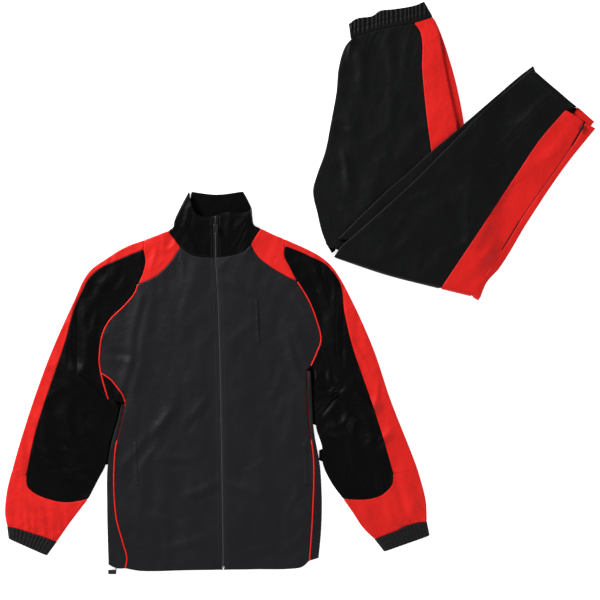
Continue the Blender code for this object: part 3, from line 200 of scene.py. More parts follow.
# A soft ridge, or a trough with a negative rise, from one point to another; bow pushes its middle aside.
Crease = namedtuple("Crease", "x1 y1 x2 y2 bow half_width rise")
JACKET_CREASES = (
    Crease(-309, -301, -277, -261, 0, 8, 1.6),
    Crease(-288, -352, -225, -354, 4, 8, 1.4),
    Crease(-237, -276, -202, -234, 0, 9, 1.5),
    Crease(-307, -461, -256, -480, 0, 9, -1.2),
    Crease(-237, -434, -176, -406, 4, 9, 1.4),
    Crease(-275, -543, -213, -526, 0, 9, 1.2),
    Crease(-139, -413, -97, -432, 0, 9, 1.4),
    Crease(-151, 18, -116, -6, 0, 8, 1.2),
    Crease(-10, -24, 21, -62, 0, 8, 1.4),
    Crease(-393, -135, -353, -142, 0, 8, -1.5),
    Crease(-324, -24, -346, -154, 4, 8, -2.0),
    Crease(-346, -154, -370, -240, 0, 8, -1.8),
    Crease(-17, -104, 18, -203, 2, 8, -2.0),
    Crease(-300, -505, -286, -330, 6, 18, 1.1),
    Crease(-205, -330, -215, -150, -8, 22, 1.2),
    Crease(-140, -300, -120, -120, 8, 24, 1.0),
    Crease(-60, -480, -90, -300, -8, 22, 1.1),
    Crease(-250, -60, -225, 40, 6, 16, 1.0),
    Crease(-40, -360, -20, -250, 6, 14, 1.2),
    Crease(-340, -470, -330, -390, 4, 12, 1.2),
    Crease(-120, -555, -60, -540, 3, 9, 1.1),
    Crease(-30, -545, 0, -520, 3, 9, 1.1),
    Crease(-468, -30, -468, -167, 2, 7, -2.5),
    Crease(-466, -180, -404, -231, -4, 7, -3.5),
    Crease(-447, -301, -416, -333, 0, 7, -2.5),
    Crease(-552, -345, -485, -381, 0, 6, -2.0),
    Crease(-517, -320, -489, -333, 0, 6, -1.5),
    Crease(-527, -188, -502, -217, 0, 6, 1.2),
    Crease(-500, -240, -445, -395, 8, 13, 1.8),
    Crease(-540, -280, -520, -370, 4, 10, 1.3),
    Crease(-430, -60, -445, -150, 5, 10, 1.6),
    Crease(-395, 30, -430, -20, 5, 10, 1.4),
    Crease(-598, -400, -560, -455, 5, 10, 1.3),
    Crease(-560, -440, -530, -490, 4, 9, 1.3),
    Crease(-520, -465, -505, -505, 3, 8, 1.2),
    Crease(34, 37, 52, -30, 0, 8, 2.0),
    Crease(86, -5, 86, -167, 2, 7, -2.5),
    Crease(34, -201, 84, -209, 0, 6, -3.0),
    Crease(84, -209, 44, -261, 0, 6, -3.0),
    Crease(44, -297, 71, -318, 0, 6, -2.0),
    Crease(107, -240, 132, -247, 0, 4, -1.2),
    Crease(116, -278, 145, -278, 0, 4, -1.2),
    Crease(149, -327, 174, -301, 0, 5, -1.5),
    Crease(100, -170, 150, -330, -8, 13, 1.7),
    Crease(60, -60, 64, -150, 4, 10, 1.5),
    Crease(15, 50, 60, 10, 4, 10, 1.3),
    Crease(112, -360, 150, -420, 5, 11, 1.4),
    Crease(215, -400, 235, -455, 4, 9, 1.4),
    Crease(180, -440, 200, -495, 4, 9, 1.3),
    Crease(130, -450, 150, -495, 4, 9, 1.2),
    Crease(-231, 114, -204, 71, 0, 5, -1.6),
    Crease(-112, 138, -136, 89, 0, 5, -1.6),
    Crease(-250, 120, -238, 165, 3, 6, 1.2),
    Crease(-150, 75, -158, 120, 3, 7, 1.0),
)
TROUSER_CREASES = (
    Crease(355, 194, 353, 98, 0, 3, -0.8),
    Crease(529, 402, 403, 272, 0, 6, -1.2),
    Crease(65, 345, 101, 337, 0, 6, -1.4),
    Crease(92, 276, 101, 215, 0, 6, 1.5),
    Crease(105, 520, 99, 484, 0, 4, 1.2),
    Crease(130, 505, 140, 380, 6, 14, 1.0),
    Crease(180, 520, 185, 410, -5, 12, 0.9),
    Crease(225, 520, 215, 420, 4, 10, 0.9),
    Crease(180, 300, 120, 160, -8, 18, 1.1),
    Crease(240, 330, 200, 240, 6, 16, 0.9),
    Crease(80, 180, 140, 130, 5, 12, 1.2),
    Crease(220, 140, 330, 190, 8, 18, 1.1),
    Crease(150, 60, 250, 110, 6, 16, 1.0),
    Crease(380, 150, 470, 260, -8, 16, 1.0),
    Crease(430, 330, 500, 390, 6, 14, 1.0),
    Crease(500, 260, 560, 330, 5, 12, 0.9),
    Crease(350, 30, 400, 90, 5, 12, 0.9),
)

Trim = namedtuple("Trim", "x1 y1 x2 y2 width")
WELTS = {
    "right_pocket_welt": Trim(-349, -323, -345, -412, 9),
    "left_pocket_welt": Trim(8, -323, 12, -412, 9),
    "chest_pocket_welt": Trim(-93, -22, -89, -116, 6),
}


def to_metres(points):
    """Table millimetres to the frame's metres."""
    points = np.asarray(points, float)
    return (points - np.array([*MIDDLE, 0.0])) * MM


def smooth_line(points, runs):
    """A Catmull-Rom curve through the points, cut into equal runs."""
    knots = np.array(points, float)
    if len(knots) == 2:
        return knots[0] + np.linspace(0, 1, runs + 1)[:, None] * (knots[1] - knots[0])
    ends = np.vstack([2 * knots[0] - knots[1], knots, 2 * knots[-1] - knots[-2]])
    steps = np.linspace(0, 1, 24, endpoint=False)[:, None]
    curve = []
    for p0, p1, p2, p3 in zip(ends, ends[1:], ends[2:], ends[3:]):
        reach = np.linalg.norm(p2 - p1)
        out = ((p2 - p1) + (p1 - p0) * reach / np.linalg.norm(p1 - p0)) / 2
        into = ((p2 - p1) + (p3 - p2) * reach / np.linalg.norm(p3 - p2)) / 2
        curve.append(
            (2 * steps**3 - 3 * steps**2 + 1) * p1
            + (steps**3 - 2 * steps**2 + steps) * out
            + (3 * steps**2 - 2 * steps**3) * p2
            + (steps**3 - steps**2) * into
        )
    return resample(np.vstack(curve + [knots[-1:]]), runs)


def length_along(line):
    return np.concatenate([[0], np.cumsum(np.linalg.norm(np.diff(line, axis=0), axis=1))])


def resample(line, runs):
    along = length_along(line)
    wanted = np.linspace(0, along[-1], runs + 1)
    return np.column_stack([np.interp(wanted, along, line[:, axis]) for axis in range(line.shape[1])])


def seam(name, runs=240):
    """A seam's points; a leading minus sign turns it round."""
    points = {**JACKET_SEAMS, **TROUSER_SEAMS}[name.lstrip("-")]
    line = smooth_line(points, runs)
    return line[::-1] if name.startswith("-") else line


def straight(start, end):
    return smooth_line((start, end), 24)


def across_from(line, name):
    """The points of a seam that lie nearest to each point of a line, with the seam's own two ends."""
    dense = seam(name, 900)
    nearest = [dense[np.argmin(np.linalg.norm(dense - point, axis=1))] for point in line]
    places = np.maximum.accumulate([np.argmin(np.linalg.norm(dense - point, axis=1)) for point in nearest])
    places = np.convolve(np.pad(places, 6, mode="edge"), np.ones(13) / 13, mode="valid")
    places[0], places[-1] = 0, len(dense) - 1
    return dense[np.round(places).astype(int)]


def beside(line, distance):
    """A line moved to its own left by a distance."""
    ahead = np.gradient(line, axis=0)
    ahead /= np.linalg.norm(ahead, axis=1)[:, None]
    return line + np.column_stack([-ahead[:, 1], ahead[:, 0]]) * distance


def inset_loop(points, insets):
    """A closed line moved inwards, run by run, with mitred corners. insets holds one distance a run."""
    runs = np.roll(points, -1, axis=0) - points
    normals = np.column_stack([-runs[:, 1], runs[:, 0]])
    normals /= np.linalg.norm(normals, axis=1)[:, None]
    before, after = np.roll(normals, 1, axis=0), normals
    a, b = np.roll(insets, 1)[:, None], np.asarray(insets)[:, None]
    turn = (before[:, 0] * after[:, 1] - before[:, 1] * after[:, 0])[:, None]
    soft = (before + after) * (a + b) / 4
    with np.errstate(divide="ignore", invalid="ignore"):
        mitred = np.column_stack([a[:, 0] * after[:, 1] - b[:, 0] * before[:, 1],
                                  b[:, 0] * before[:, 0] - a[:, 0] * after[:, 0]]) / turn
    moved = np.where(np.abs(turn) < 0.2, soft, mitred)
    size = np.linalg.norm(moved, axis=1)[:, None]
    most = 2.2 * np.maximum(np.abs(a), np.abs(b))
    return points + moved * np.minimum(1, most / np.maximum(size, 1e-9))


def settle(line, sewn_line, insets):
    """Slides the points of an inset line along it, so that none of them lies beyond its new corners."""
    runs = np.diff(sewn_line, axis=0)
    runs /= np.linalg.norm(runs, axis=1)[:, None]
    moves = np.column_stack([-runs[:, 1], runs[:, 0]]) * np.asarray(insets)[:, None]
    free = sewn_line + (np.vstack([moves[:1], moves]) + np.vstack([moves, moves[-1:]])) / 2
    along = length_along(free)
    total = along[-1]
    ahead = max(0.0, float(np.dot(line[0] - free[0], runs[0])))
    behind = max(0.0, float(np.dot(free[-1] - line[-1], runs[-1])))
    reach, rear = (max(min(8 * shift, 0.45 * total), 1.2 * shift) + 0.001 for shift in (ahead, behind))
    wanted = np.interp(along, (0, reach, total - rear, total), (ahead, reach, total - rear, total - behind))
    slid = np.column_stack([np.interp(wanted, along, free[:, axis]) for axis in (0, 1)])
    slid[0], slid[-1] = line[0], line[-1]
    return slid


def coons(bottom, right, top, left, fade):
    """The grid that fills four sides; bottom and top run to the right, left and right run up."""
    u = np.linspace(0, 1, len(bottom))[None, :, None]
    v = np.linspace(0, 1, len(left))[:, None, None]
    ruled = (1 - u) * left[:, None] + u * right[:, None]
    bottom_bow = bottom[None] - (1 - u) * bottom[0] - u * bottom[-1]
    top_bow = top[None] - (1 - u) * top[0] - u * top[-1]
    return ruled + (1 - v) ** fade * bottom_bow + v**fade * top_bow


# How each edge of a panel ends. steps: (further inset, drop below the panel's top), from the edge inwards.
Edge = namedtuple("Edge", "inset steps width lip base drop", defaults=(1.0,))
SEWN = ((-0.7, 1.7), (0.1, 0.8), (0.6, 0.32), (1.5, 0.08), (3.0, 0.0))
TURNED = ((2.6, 1.9), (0.5, 1.8), (0.0, 1.0), (0.35, 0.3), (1.3, 0.0))


def sewn(inset=0.1):
    return Edge(inset, SEWN, 0, 0, None)


def turned(inset=0.0):
    return Edge(inset, TURNED, 0, 0, None)


def on_surface(x, y):
    return np.zeros_like(x)


def rolled(width=FOLD_WIDTH, lip=FOLD_LIP, base=on_surface):
    """A fold that turns under, down to the height that base gives for a place."""
    return Edge(0.0, (), width, lip, base)


PIPED = sewn(PIPING_RADIUS + 0.1)
ZIPPED = Edge(CHAIN_WIDTH / 2 + 0.3, TURNED, 0, 0, None)
PLAIN = sewn()
FREE = turned()
SIDE_NAMES = ("bottom", "right", "top", "left")


class Panel:
    """A piece of cloth between four sides. Each side is a list of (line, edge)."""

    def __init__(self, bottom, right, top, left, cell=CELL, fade=2, columns=None, rows=None):
        sides = (bottom, right, top, left)
        lengths = [sum(length_along(line)[-1] for line, edge in side) for side in sides]
        columns = columns or max(2, round((lengths[0] + lengths[2]) / 2 / cell))
        rows = rows or max(2, round((lengths[1] + lengths[3]) / 2 / cell))
        self.counts = (columns, rows, columns, rows)
        self.edges = [side[0][1] for side in sides]
        self.fade = fade
        self.shares, self.drops = [], []
        loop, self.insets, self.owner = [], [], []
        for index, side in enumerate(sides):
            points, insets, drops = self.divide(side, self.counts[index])
            self.drops.append(np.minimum(np.append(drops, drops[-1]), np.insert(drops, 0, drops[0])))
            if index > 1:
                points, insets = points[::-1], insets[::-1]
            loop.append(points[:-1])
            self.insets.extend(insets)
            self.owner.extend([index] * len(insets))
        self.loop = np.vstack(loop)
        self.insets, self.owner = np.array(self.insets, float), np.array(self.owner)

    def divide(self, side, total):
        """Shares a side's runs between its lines by their lengths."""
        ends = np.cumsum([0] + [length_along(line)[-1] for line, edge in side])
        marks = np.round(ends / ends[-1] * total).astype(int)
        for index in range(1, len(marks)):
            marks[index] = max(marks[index], marks[index - 1] + 1)
        marks = np.minimum(marks, total - np.arange(len(marks))[::-1])
        self.shares.append(np.diff(marks))
        points, insets, drops = [], [], []
        for (line, edge), first, last in zip(side, marks, marks[1:]):
            points.append(resample(line, last - first)[:-1])
            insets.extend([edge.inset] * (last - first))
            drops.extend([edge.drop] * (last - first))
        points.append(side[-1][0][-1:])
        return np.vstack(points), insets, drops

    def level(self, side=None, extra=0.0):
        """The four sides of the flat part, with one side moved to its own inset plus extra."""
        insets = self.insets.copy()
        for index, edge in enumerate(self.edges):
            add = extra if index == side else (edge.steps[-1][0] if edge.steps else edge.width)
            insets[self.owner == index] += add
        moved, seams = (np.vstack([loop, loop[:1]]) for loop in (inset_loop(self.loop, insets), self.loop))
        marks = np.concatenate([[0], np.cumsum(self.counts)])
        bottom, right, top, left = (
            settle(moved[a : b + 1], seams[a : b + 1], insets[a:b]) for a, b in zip(marks, marks[1:])
        )
        return bottom, right, top[::-1], left[::-1]

    def strips(self, side, flat, tops, v, height):
        """For each step outwards from the flat part: how far each point moves, and how far it drops."""
        edge = self.edges[side]
        start = flat[side]
        if edge.steps:
            steps = []
            for inset, drop in reversed(edge.steps[:-1]):
                line = self.level(side, inset)[side]
                steps.append((line - start, drop * self.drops[side] + tops - height(line[:, 0], line[:, 1], v)))
            return steps
        if not edge.width:
            return []
        outer = self.level(side, 0.0)[side] - start
        lip = self.level(side, edge.width + edge.lip)[side] - start
        full = tops - edge.base(start[:, 0], start[:, 1])
        turns = [math.radians(angle) for angle in ROLL_ANGLES]
        rolls = [(outer * math.sin(turn), full * (1 - math.cos(turn)) / 2) for turn in turns]
        return rolls + [(lip, full)]

    def build(self, height, puckers=(), lifted=False):
        """Points (rows, columns, xyz) of the whole piece, in millimetres."""
        flat = self.level()
        grid = coons(*flat, self.fade)
        rows, columns = grid.shape[:2]
        v = np.broadcast_to(np.linspace(0, 1, rows)[:, None], (rows, columns))
        top = height(grid[..., 0], grid[..., 1], v)
        top = top + self.pucker(grid, puckers)
        borders = (top[0], top[:, -1], top[-1], top[:, 0])
        across = (v[0], v[:, -1], v[-1], v[:, 0])
        strips = [self.strips(side, flat, borders[side], across[side], height) for side in range(4)]
        before, after = (len(strips[3]), len(strips[0])), (len(strips[1]), len(strips[2]))
        i = np.arange(before[1] + rows + after[1])
        j = np.arange(before[0] + columns + after[0])
        row, column = np.clip(i - before[1], 0, rows - 1), np.clip(j - before[0], 0, columns - 1)
        points = np.dstack([grid[row][:, column], top[row][:, column]])
        level = points[..., :2].copy()
        for k, (shift, drop) in enumerate(strips[0]):
            points[before[1] - 1 - k] += np.column_stack([shift, -drop])[column]
        for k, (shift, drop) in enumerate(strips[2]):
            points[before[1] + rows + k] += np.column_stack([shift, -drop])[column]
        for k, (shift, drop) in enumerate(strips[3]):
            points[:, before[0] - 1 - k] += np.column_stack([shift, -drop])[row]
        for k, (shift, drop) in enumerate(strips[1]):
            points[:, before[0] + columns + k] += np.column_stack([shift, -drop])[row]
        corners = ((i < before[1]) | (i >= before[1] + rows))[:, None] & ((j < before[0]) | (j >= before[0] + columns))
        points[..., :2] = np.where(corners[..., None], level + 0.8 * (points[..., :2] - level), points[..., :2])
        if lifted:
            points[..., 2] += leg_shift(points[..., 0])
        points[..., 2] = np.maximum(points[..., 2], 0.0)
        return points

    def pucker(self, grid, puckers):
        """Small gathers that run in from a sewn side: (side, wavelength, depth, reach)."""
        total = np.zeros(grid.shape[:2])
        up = np.cumsum(np.linalg.norm(np.diff(grid, axis=0, prepend=grid[:1]), axis=2), axis=0)
        over = np.cumsum(np.linalg.norm(np.diff(grid, axis=1, prepend=grid[:, :1]), axis=2), axis=1)
        for side, wavelength, depth, reach in puckers:
            index = SIDE_NAMES.index(side)
            away = (up, over[:, -1:] - over, up[-1:] - up, over)[index]
            along = (over, up, over, up)[index]
            wander = 1.6 * uneven(along, away * 0.3, wavelength * 3, 1.0, 7.0 + index)
            wave = np.sin(2 * math.pi * along / wavelength + 3 * wander) * (0.7 + 0.6 * wander)
            total += depth * wave * np.exp(-away / reach) * (1 - np.exp(-away / 2.5))
        return total


def creased(table, x, y):
    """The rise of all creases: each has a soft hollow along one flank, and fades at its ends."""
    total = np.zeros_like(x)
    for crease in table:
        dx, dy = crease.x2 - crease.x1, crease.y2 - crease.y1
        length = math.hypot(dx, dy)
        along = ((x - crease.x1) * dx + (y - crease.y1) * dy) / length
        share = np.clip(along / length, 0, 1)
        across = ((x - crease.x1) * dy - (y - crease.y1) * dx) / length - crease.bow * 4 * share * (1 - share)
        past = np.maximum(np.maximum(-along, along - length), 0) / (1.5 * crease.half_width)
        body = np.exp(-((across / crease.half_width) ** 2))
        flank = 0.4 * np.exp(-(((across - 1.7 * crease.half_width) / (1.1 * crease.half_width)) ** 2))
        total += crease.rise * (body - flank) * np.exp(-(past**2)) * (0.55 + 0.45 * np.sin(math.pi * share))
    return total


def folded(table, x, y):
    """The suit's largest folds, as the solids have them."""
    total = np.zeros_like(x)
    for fold in table:
        dx, dy = fold.x2 - fold.x1, fold.y2 - fold.y1
        length = math.hypot(dx, dy)
        along = ((x - fold.x1) * dx + (y - fold.y1) * dy) / length
        across = ((x - fold.x1) * dy - (y - fold.y1) * dx) / length
        past = np.maximum(np.maximum(-along, along - length), 0)
        total += fold.rise * np.exp(-((across / fold.half_width) ** 2) - (past / (1.3 * fold.half_width)) ** 2)
    return total


def crumpled(x, y, size, depth, seed, turn=0.0):
    """Irregular soft folds with sharper crests, drawn out along one direction."""
    c, s = math.cos(math.radians(turn)), math.sin(math.radians(turn))
    along, across = x * c + y * s, y * c - x * s
    bend = uneven(along, across, 1.8 * size, 0.7 * size, seed + 20)
    crest = 1 - 2.2 * np.abs(uneven(along * 0.45, across + bend, 0.8 * size, 1.0, seed))
    patch = np.clip(0.5 + 1.1 * uneven(along, across, 2.4 * size, 1.0, seed + 40), 0, 1)
    return depth * (crest - 0.5) * patch


def uneven(x, y, size, depth, seed):
    """Slow, irregular rises and hollows of about a size, the same on every run."""
    x, y = np.asarray(x, float), np.asarray(y, float)
    flat = [noise.noise(Vector((a / size, b / size, seed))) for a, b in zip(x.ravel(), y.ravel())]
    return depth * np.reshape(flat, x.shape)


def jacket_height(x, y, v=0):
    lie = uneven(x, y * 0.6, 55, 1.8, 1.3) + uneven(x * 1.2, y * 0.7, 22, 0.7, 4.1)
    on_sleeve = np.clip(np.maximum(-385 - x, x - 20) / 30, 0, 1)
    soft = (1 - on_sleeve) * crumpled(x, y, 48, 1.7, 12.5, 70) + on_sleeve * crumpled(x, y, 34, 3.2, 17.5, 100)
    collar = np.clip((y - 62 + 0.0016 * (x + 179) ** 2) / 14, 0, 1)
    soft = (1 - collar) * soft + collar * crumpled(x, y, 26, 2.6, 19.5, 80)
    lie = lie + soft + folded(JACKET_FOLDS, x, y) + CREASE_DEPTH * creased(JACKET_CREASES, x, y)
    return np.maximum(JACKET_TOP + lie, JACKET_LOWEST)


def collar_height(x, y, v):
    return jacket_height(x, y) + COLLAR_RISE * np.sin(v * math.pi / 2)


def thigh_height(x, y, v=0):
    lie = uneven(x, y * 0.6, 60, 1.5, 2.2) + uneven(x, y, 24, 0.6, 5.5)
    lie = lie + crumpled(x, y, 46, 1.6, 22.5, 80)
    lie = lie + folded(LEG_FOLDS[2:], x, y) + CREASE_DEPTH * creased(TROUSER_CREASES, x, y)
    return np.maximum(LEG_TOP + lie, LEG_LOWEST)


def leg_height(x, y, v=0):
    lie = uneven(x * 0.8, y, 55, 1.3, 3.2) + uneven(x, y, 22, 0.55, 6.5)
    lie = lie + crumpled(x, y, 44, 1.5, 24.5, 40)
    lie = lie + folded(LEG_FOLDS[:2], x, y) + CREASE_DEPTH * creased(TROUSER_CREASES, x, y)
    return np.maximum(LEG_TOP + lie, LEG_LOWEST)


def under_height(x, y, v=0):
    return UNDER_TOP + uneven(x, y, 40, 0.4, 8.5)


def leg_shift(x):
    """How far the lower legs are lifted by the thighs under them."""
    places, shares = zip(*LEG_STEPS)
    return LEG_STEP * (np.interp(x - 6, places, shares) + 2 * np.interp(x, places, shares)
                       + np.interp(x + 6, places, shares)) / 4


SURFACES = {}


def sheet_object(name, grids, finish, grain, thickness=CLOTH):
    """A mesh of one or more grids of points, with a Grain UV map that follows the cloth's threads."""
    spots, faces, grains = [], [], []
    turn = math.radians(grain)
    for points in grids:
        rows, columns = points.shape[:2]
        first = sum(len(part) for part in spots)
        flat = points.reshape(-1, 3)
        spots.append(flat)
        grains.append(np.column_stack([flat[:, 0] * math.cos(turn) + flat[:, 1] * math.sin(turn),
                                       flat[:, 1] * math.cos(turn) - flat[:, 0] * math.sin(turn)]) * MM)
        index = np.arange(rows * columns).reshape(rows, columns) + first
        quads = np.dstack([index[:-1, :-1], index[:-1, 1:], index[1:, 1:], index[1:, :-1]]).reshape(-1, 4)
        faces.append(quads)
    spots, faces, grains = np.vstack(spots), np.vstack(faces), np.vstack(grains)
    mesh = bpy.data.meshes.new(name)
    mesh.from_pydata(to_metres(spots).tolist(), [], faces.tolist())
    layer = mesh.uv_layers.new(name="Grain")
    layer.data.foreach_set("uv", grains[faces.ravel()].astype(np.float32).ravel())
    if len(grids) > 1:
        bm = bmesh.new()
        bm.from_mesh(mesh)
        bmesh.ops.remove_doubles(bm, verts=bm.verts, dist=0.00005)
        bm.to_mesh(mesh)
        bm.free()
    mesh.shade_smooth()
    mesh.materials.append(finish)
    made = bpy.data.objects.new(name, mesh)
    bpy.context.scene.collection.objects.link(made)
    if thickness:
        wall = made.modifiers.new("Cloth thickness", "SOLIDIFY")
        wall.thickness = thickness * MM
        wall.offset = -1
    SURFACES[name] = BVHTree.FromPolygons(to_metres(spots).tolist(), faces.tolist())
    return made


def cut_area(grids):
    """The cloth in some grids of points, in square metres."""
    total = 0.0
    for points in grids:
        a, b = points[1:, :-1] - points[:-1, :-1], points[:-1, 1:] - points[:-1, :-1]
        c, d = points[:-1, 1:] - points[1:, 1:], points[1:, :-1] - points[1:, 1:]
        total += (np.linalg.norm(np.cross(a, b), axis=2).sum() + np.linalg.norm(np.cross(c, d), axis=2).sum()) / 2
    return total * MM * MM


def dress(name, nodes, grids, finish, grain=0.0, thickness=CLOTH, spans=None):
    made = sheet_object(name, grids, finish, grain, thickness)
    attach(made, "suit")
    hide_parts(*nodes)
    area = cut_area(grids)
    width, length = spans or grid_spans(grids)
    width = max(min(width, area / (0.45 * length)), area / length)
    return made


def grid_spans(grids):
    """The widest and longest measures over the cloth, in metres."""
    width = max(np.linalg.norm(np.diff(points, axis=1), axis=2).sum(axis=1).max() for points in grids)
    length = sum(np.linalg.norm(np.diff(points, axis=0), axis=2).sum(axis=0).max() for points in grids)
    return float(width * MM), float(length * MM)


class Value:
    """A number or colour in a material's node tree; sums and products of values add Math nodes."""

    def __init__(self, finish, socket):
        self.finish, self.socket = finish, socket

    def __add__(self, other):
        return self.finish.add("ShaderNodeMath", {"operation": "ADD"}, {0: self, 1: other})

    def __sub__(self, other):
        return self.finish.add("ShaderNodeMath", {"operation": "SUBTRACT"}, {0: self, 1: other})

    def __rsub__(self, other):
        return self.finish.add("ShaderNodeMath", {"operation": "SUBTRACT"}, {0: other, 1: self})

    def __mul__(self, other):
        return self.finish.add("ShaderNodeMath", {"operation": "MULTIPLY"}, {0: self, 1: other})

    __radd__ = __add__
    __rmul__ = __mul__


class Finish:
    """A procedural material round one Principled shader."""

    def __init__(self, name, metallic=0.0, sheen=0.0, shine=0.2):
        self.material = bpy.data.materials.new(name)
        self.material.use_nodes = True
        self.tree = self.material.node_tree
        self.shader = self.tree.nodes["Principled BSDF"]
        self.shader.inputs["Metallic"].default_value = metallic
        self.shader.inputs["Sheen Weight"].default_value = sheen
        self.shader.inputs["Sheen Roughness"].default_value = 0.5
        self.shader.inputs["Specular IOR Level"].default_value = 0.5 if metallic else shine

    def add(self, kind, settings, sockets, output=0):
        node = self.tree.nodes.new(kind)
        for key, setting in settings.items():
            setattr(node, key, setting)
        self.set(node, sockets)
        return Value(self, node.outputs[output])

    def set(self, node, sockets):
        for key, given in sockets.items():
            if isinstance(given, Value):
                self.tree.links.new(given.socket, node.inputs[key])
            else:
                node.inputs[key].default_value = given

    def place(self, uv=None):
        if uv:
            return self.add("ShaderNodeUVMap", {"uv_map": uv}, {})
        return self.add("ShaderNodeTexCoord", {}, {}, "Object")

    def noise(self, at, size, detail=2.0):
        return self.add("ShaderNodeTexNoise", {}, {"Vector": at, "Scale": 1 / size, "Detail": detail})

    def wave(self, at, pitch, axis):
        """Bands across one axis of a UV map; pitch is their spacing."""
        settings = {"wave_type": "BANDS", "bands_direction": axis, "wave_profile": "SIN"}
        return self.add("ShaderNodeTexWave", settings, {"Vector": at, "Scale": math.pi / 10 / pitch}, "Fac")

    def between(self, share, low, high):
        """A mix of two colours."""
        settings = {"data_type": "RGBA"}
        return self.add("ShaderNodeMix", settings, {"Factor": share, 6: (*low, 1), 7: (*high, 1)}, 2)

    def bumps(self, *layers):
        """Stacks (height, depth, strength) layers into the shader's normal."""
        below = None
        for height, depth, strength in layers:
            sockets = {"Height": height, "Distance": depth, "Strength": strength}
            if below:
                sockets["Normal"] = below
            below = self.add("ShaderNodeBump", {}, sockets)
        self.set(self.shader, {"Normal": below})

    def dress(self, **sockets):
        self.set(self.shader, {key.replace("_", " ").title(): given for key, given in sockets.items()})


def woven(name, dark, light, roughness, crumple=1.0, sheen=0.015, shine=0.2):
    """Smooth polyester: a fine weave, soft crumples and a slightly uneven tone."""
    finish = Finish(name, sheen=sheen, shine=shine)
    grain, place = finish.place("Grain"), finish.place()
    cloud = finish.noise(place, 0.07, 3)
    mottle = finish.noise(grain, 0.004, 2)
    threads = finish.wave(grain, 0.0007, "X") * 0.5 + finish.wave(grain, 0.0007, "Y") * 0.5
    soft = finish.noise(place, 0.028, 2)
    crinkle = finish.noise(place, 0.009, 2)
    share = cloud * 0.9 + mottle * 0.25 - 0.1 + threads * 0.1
    finish.dress(base_color=finish.between(share, dark, light),
                 roughness=cloud * 0.12 + threads * 0.05 + (roughness - 0.08))
    finish.bumps((soft, 0.0032 * crumple, 0.6), (crinkle, 0.0009 * crumple, 0.5), (threads, 0.00007, 0.4))
    return finish.material


def ribbed(name, dark, light):
    """Elastic knit: fine ribs with a soft, slightly fuzzy face."""
    finish = Finish(name, sheen=0.02)
    grain, place = finish.place("Grain"), finish.place()
    ribs = finish.wave(grain, 0.0024, "X")
    loops = finish.wave(grain, 0.0011, "Y")
    cloud = finish.noise(place, 0.03, 3)
    finish.dress(base_color=finish.between(cloud * 0.6 + ribs * 0.4, dark, light), roughness=cloud * 0.1 + 0.7)
    finish.bumps((cloud, 0.0016, 0.5), (ribs, 0.0006, 0.7), (loops, 0.00015, 0.4))
    return finish.material


def cast(name, dark, light, roughness, metallic, wear):
    """Die-cast metal or moulded plastic with fine pits and a slightly rubbed face."""
    finish = Finish(name, metallic=metallic)
    place = finish.place()
    grit, cloud = finish.noise(place, 0.0006, 2), finish.noise(place, 0.006, 3)
    finish.dress(base_color=finish.between(cloud, dark, light), roughness=cloud * wear + grit * 0.06 + roughness)
    finish.bumps((cloud, 0.0002, 0.3), (grit, 0.00004, 0.4))
    return finish.material


def thread(name, dark, light):
    finish = Finish(name, sheen=0.03)
    place = finish.place()
    twist, cloud = finish.noise(place, 0.0005, 2), finish.noise(place, 0.02, 2)
    finish.dress(base_color=finish.between(cloud, dark, light), roughness=twist * 0.1 + 0.5)
    finish.bumps((twist, 0.00012, 0.5))
    return finish.material


BODY_BLACK = woven("Body black polyester", (0.0050, 0.0050, 0.0064), (0.0100, 0.0101, 0.0122), 0.6)
SLEEVE_BLACK = woven("Sleeve black polyester", (0.0004, 0.0004, 0.0004), (0.0014, 0.0014, 0.0015), 0.5,
                     sheen=0.003, shine=0.09)
TROUSER_BLACK = woven("Trouser black polyester", (0.0015, 0.0018, 0.0017), (0.0042, 0.0047, 0.0045), 0.56,
                      sheen=0.006, shine=0.13)
JACKET_RED = woven("Jacket red polyester", (0.63, 0.009, 0.006), (0.79, 0.014, 0.010), 0.6)
TROUSER_RED = woven("Trouser red polyester", (0.62, 0.008, 0.006), (0.78, 0.013, 0.009), 0.6)
CUFF_KNIT = ribbed("Cuff knit", (0.005, 0.005, 0.0055), (0.011, 0.011, 0.012))
PIPING_RED = thread("Piping red satin", (0.74, 0.012, 0.010), (0.88, 0.022, 0.018))
TAPE_BLACK = ribbed("Zip tape", (0.006, 0.006, 0.007), (0.013, 0.013, 0.015))
TEETH_GREY = cast("Zip teeth", (0.10, 0.10, 0.11), (0.2, 0.2, 0.21), 0.32, 0.6, 0.1)
BRIGHT_METAL = cast("Bright metal", (0.62, 0.62, 0.64), (0.8, 0.8, 0.82), 0.18, 1.0, 0.14)
DARK_METAL = cast("Dark metal", (0.05, 0.05, 0.055), (0.11, 0.11, 0.12), 0.2, 1.0, 0.16)
MATT_PLASTIC = cast("Toggle plastic", (0.012, 0.012, 0.013), (0.024, 0.024, 0.026), 0.42, 0.0, 0.1)
BLACK_THREAD = thread("Black thread", (0.009, 0.009, 0.010), (0.018, 0.018, 0.020))
GREY_THREAD = thread("Grey thread", (0.03, 0.03, 0.034), (0.05, 0.05, 0.056))
RED_THREAD = thread("Red thread", (0.5, 0.012, 0.011), (0.66, 0.02, 0.018))


def on_under_layer(x, y):
    return np.full_like(x, UNDER_TOP + 0.5)


def under_knee(x, y):
    return -leg_shift(x)


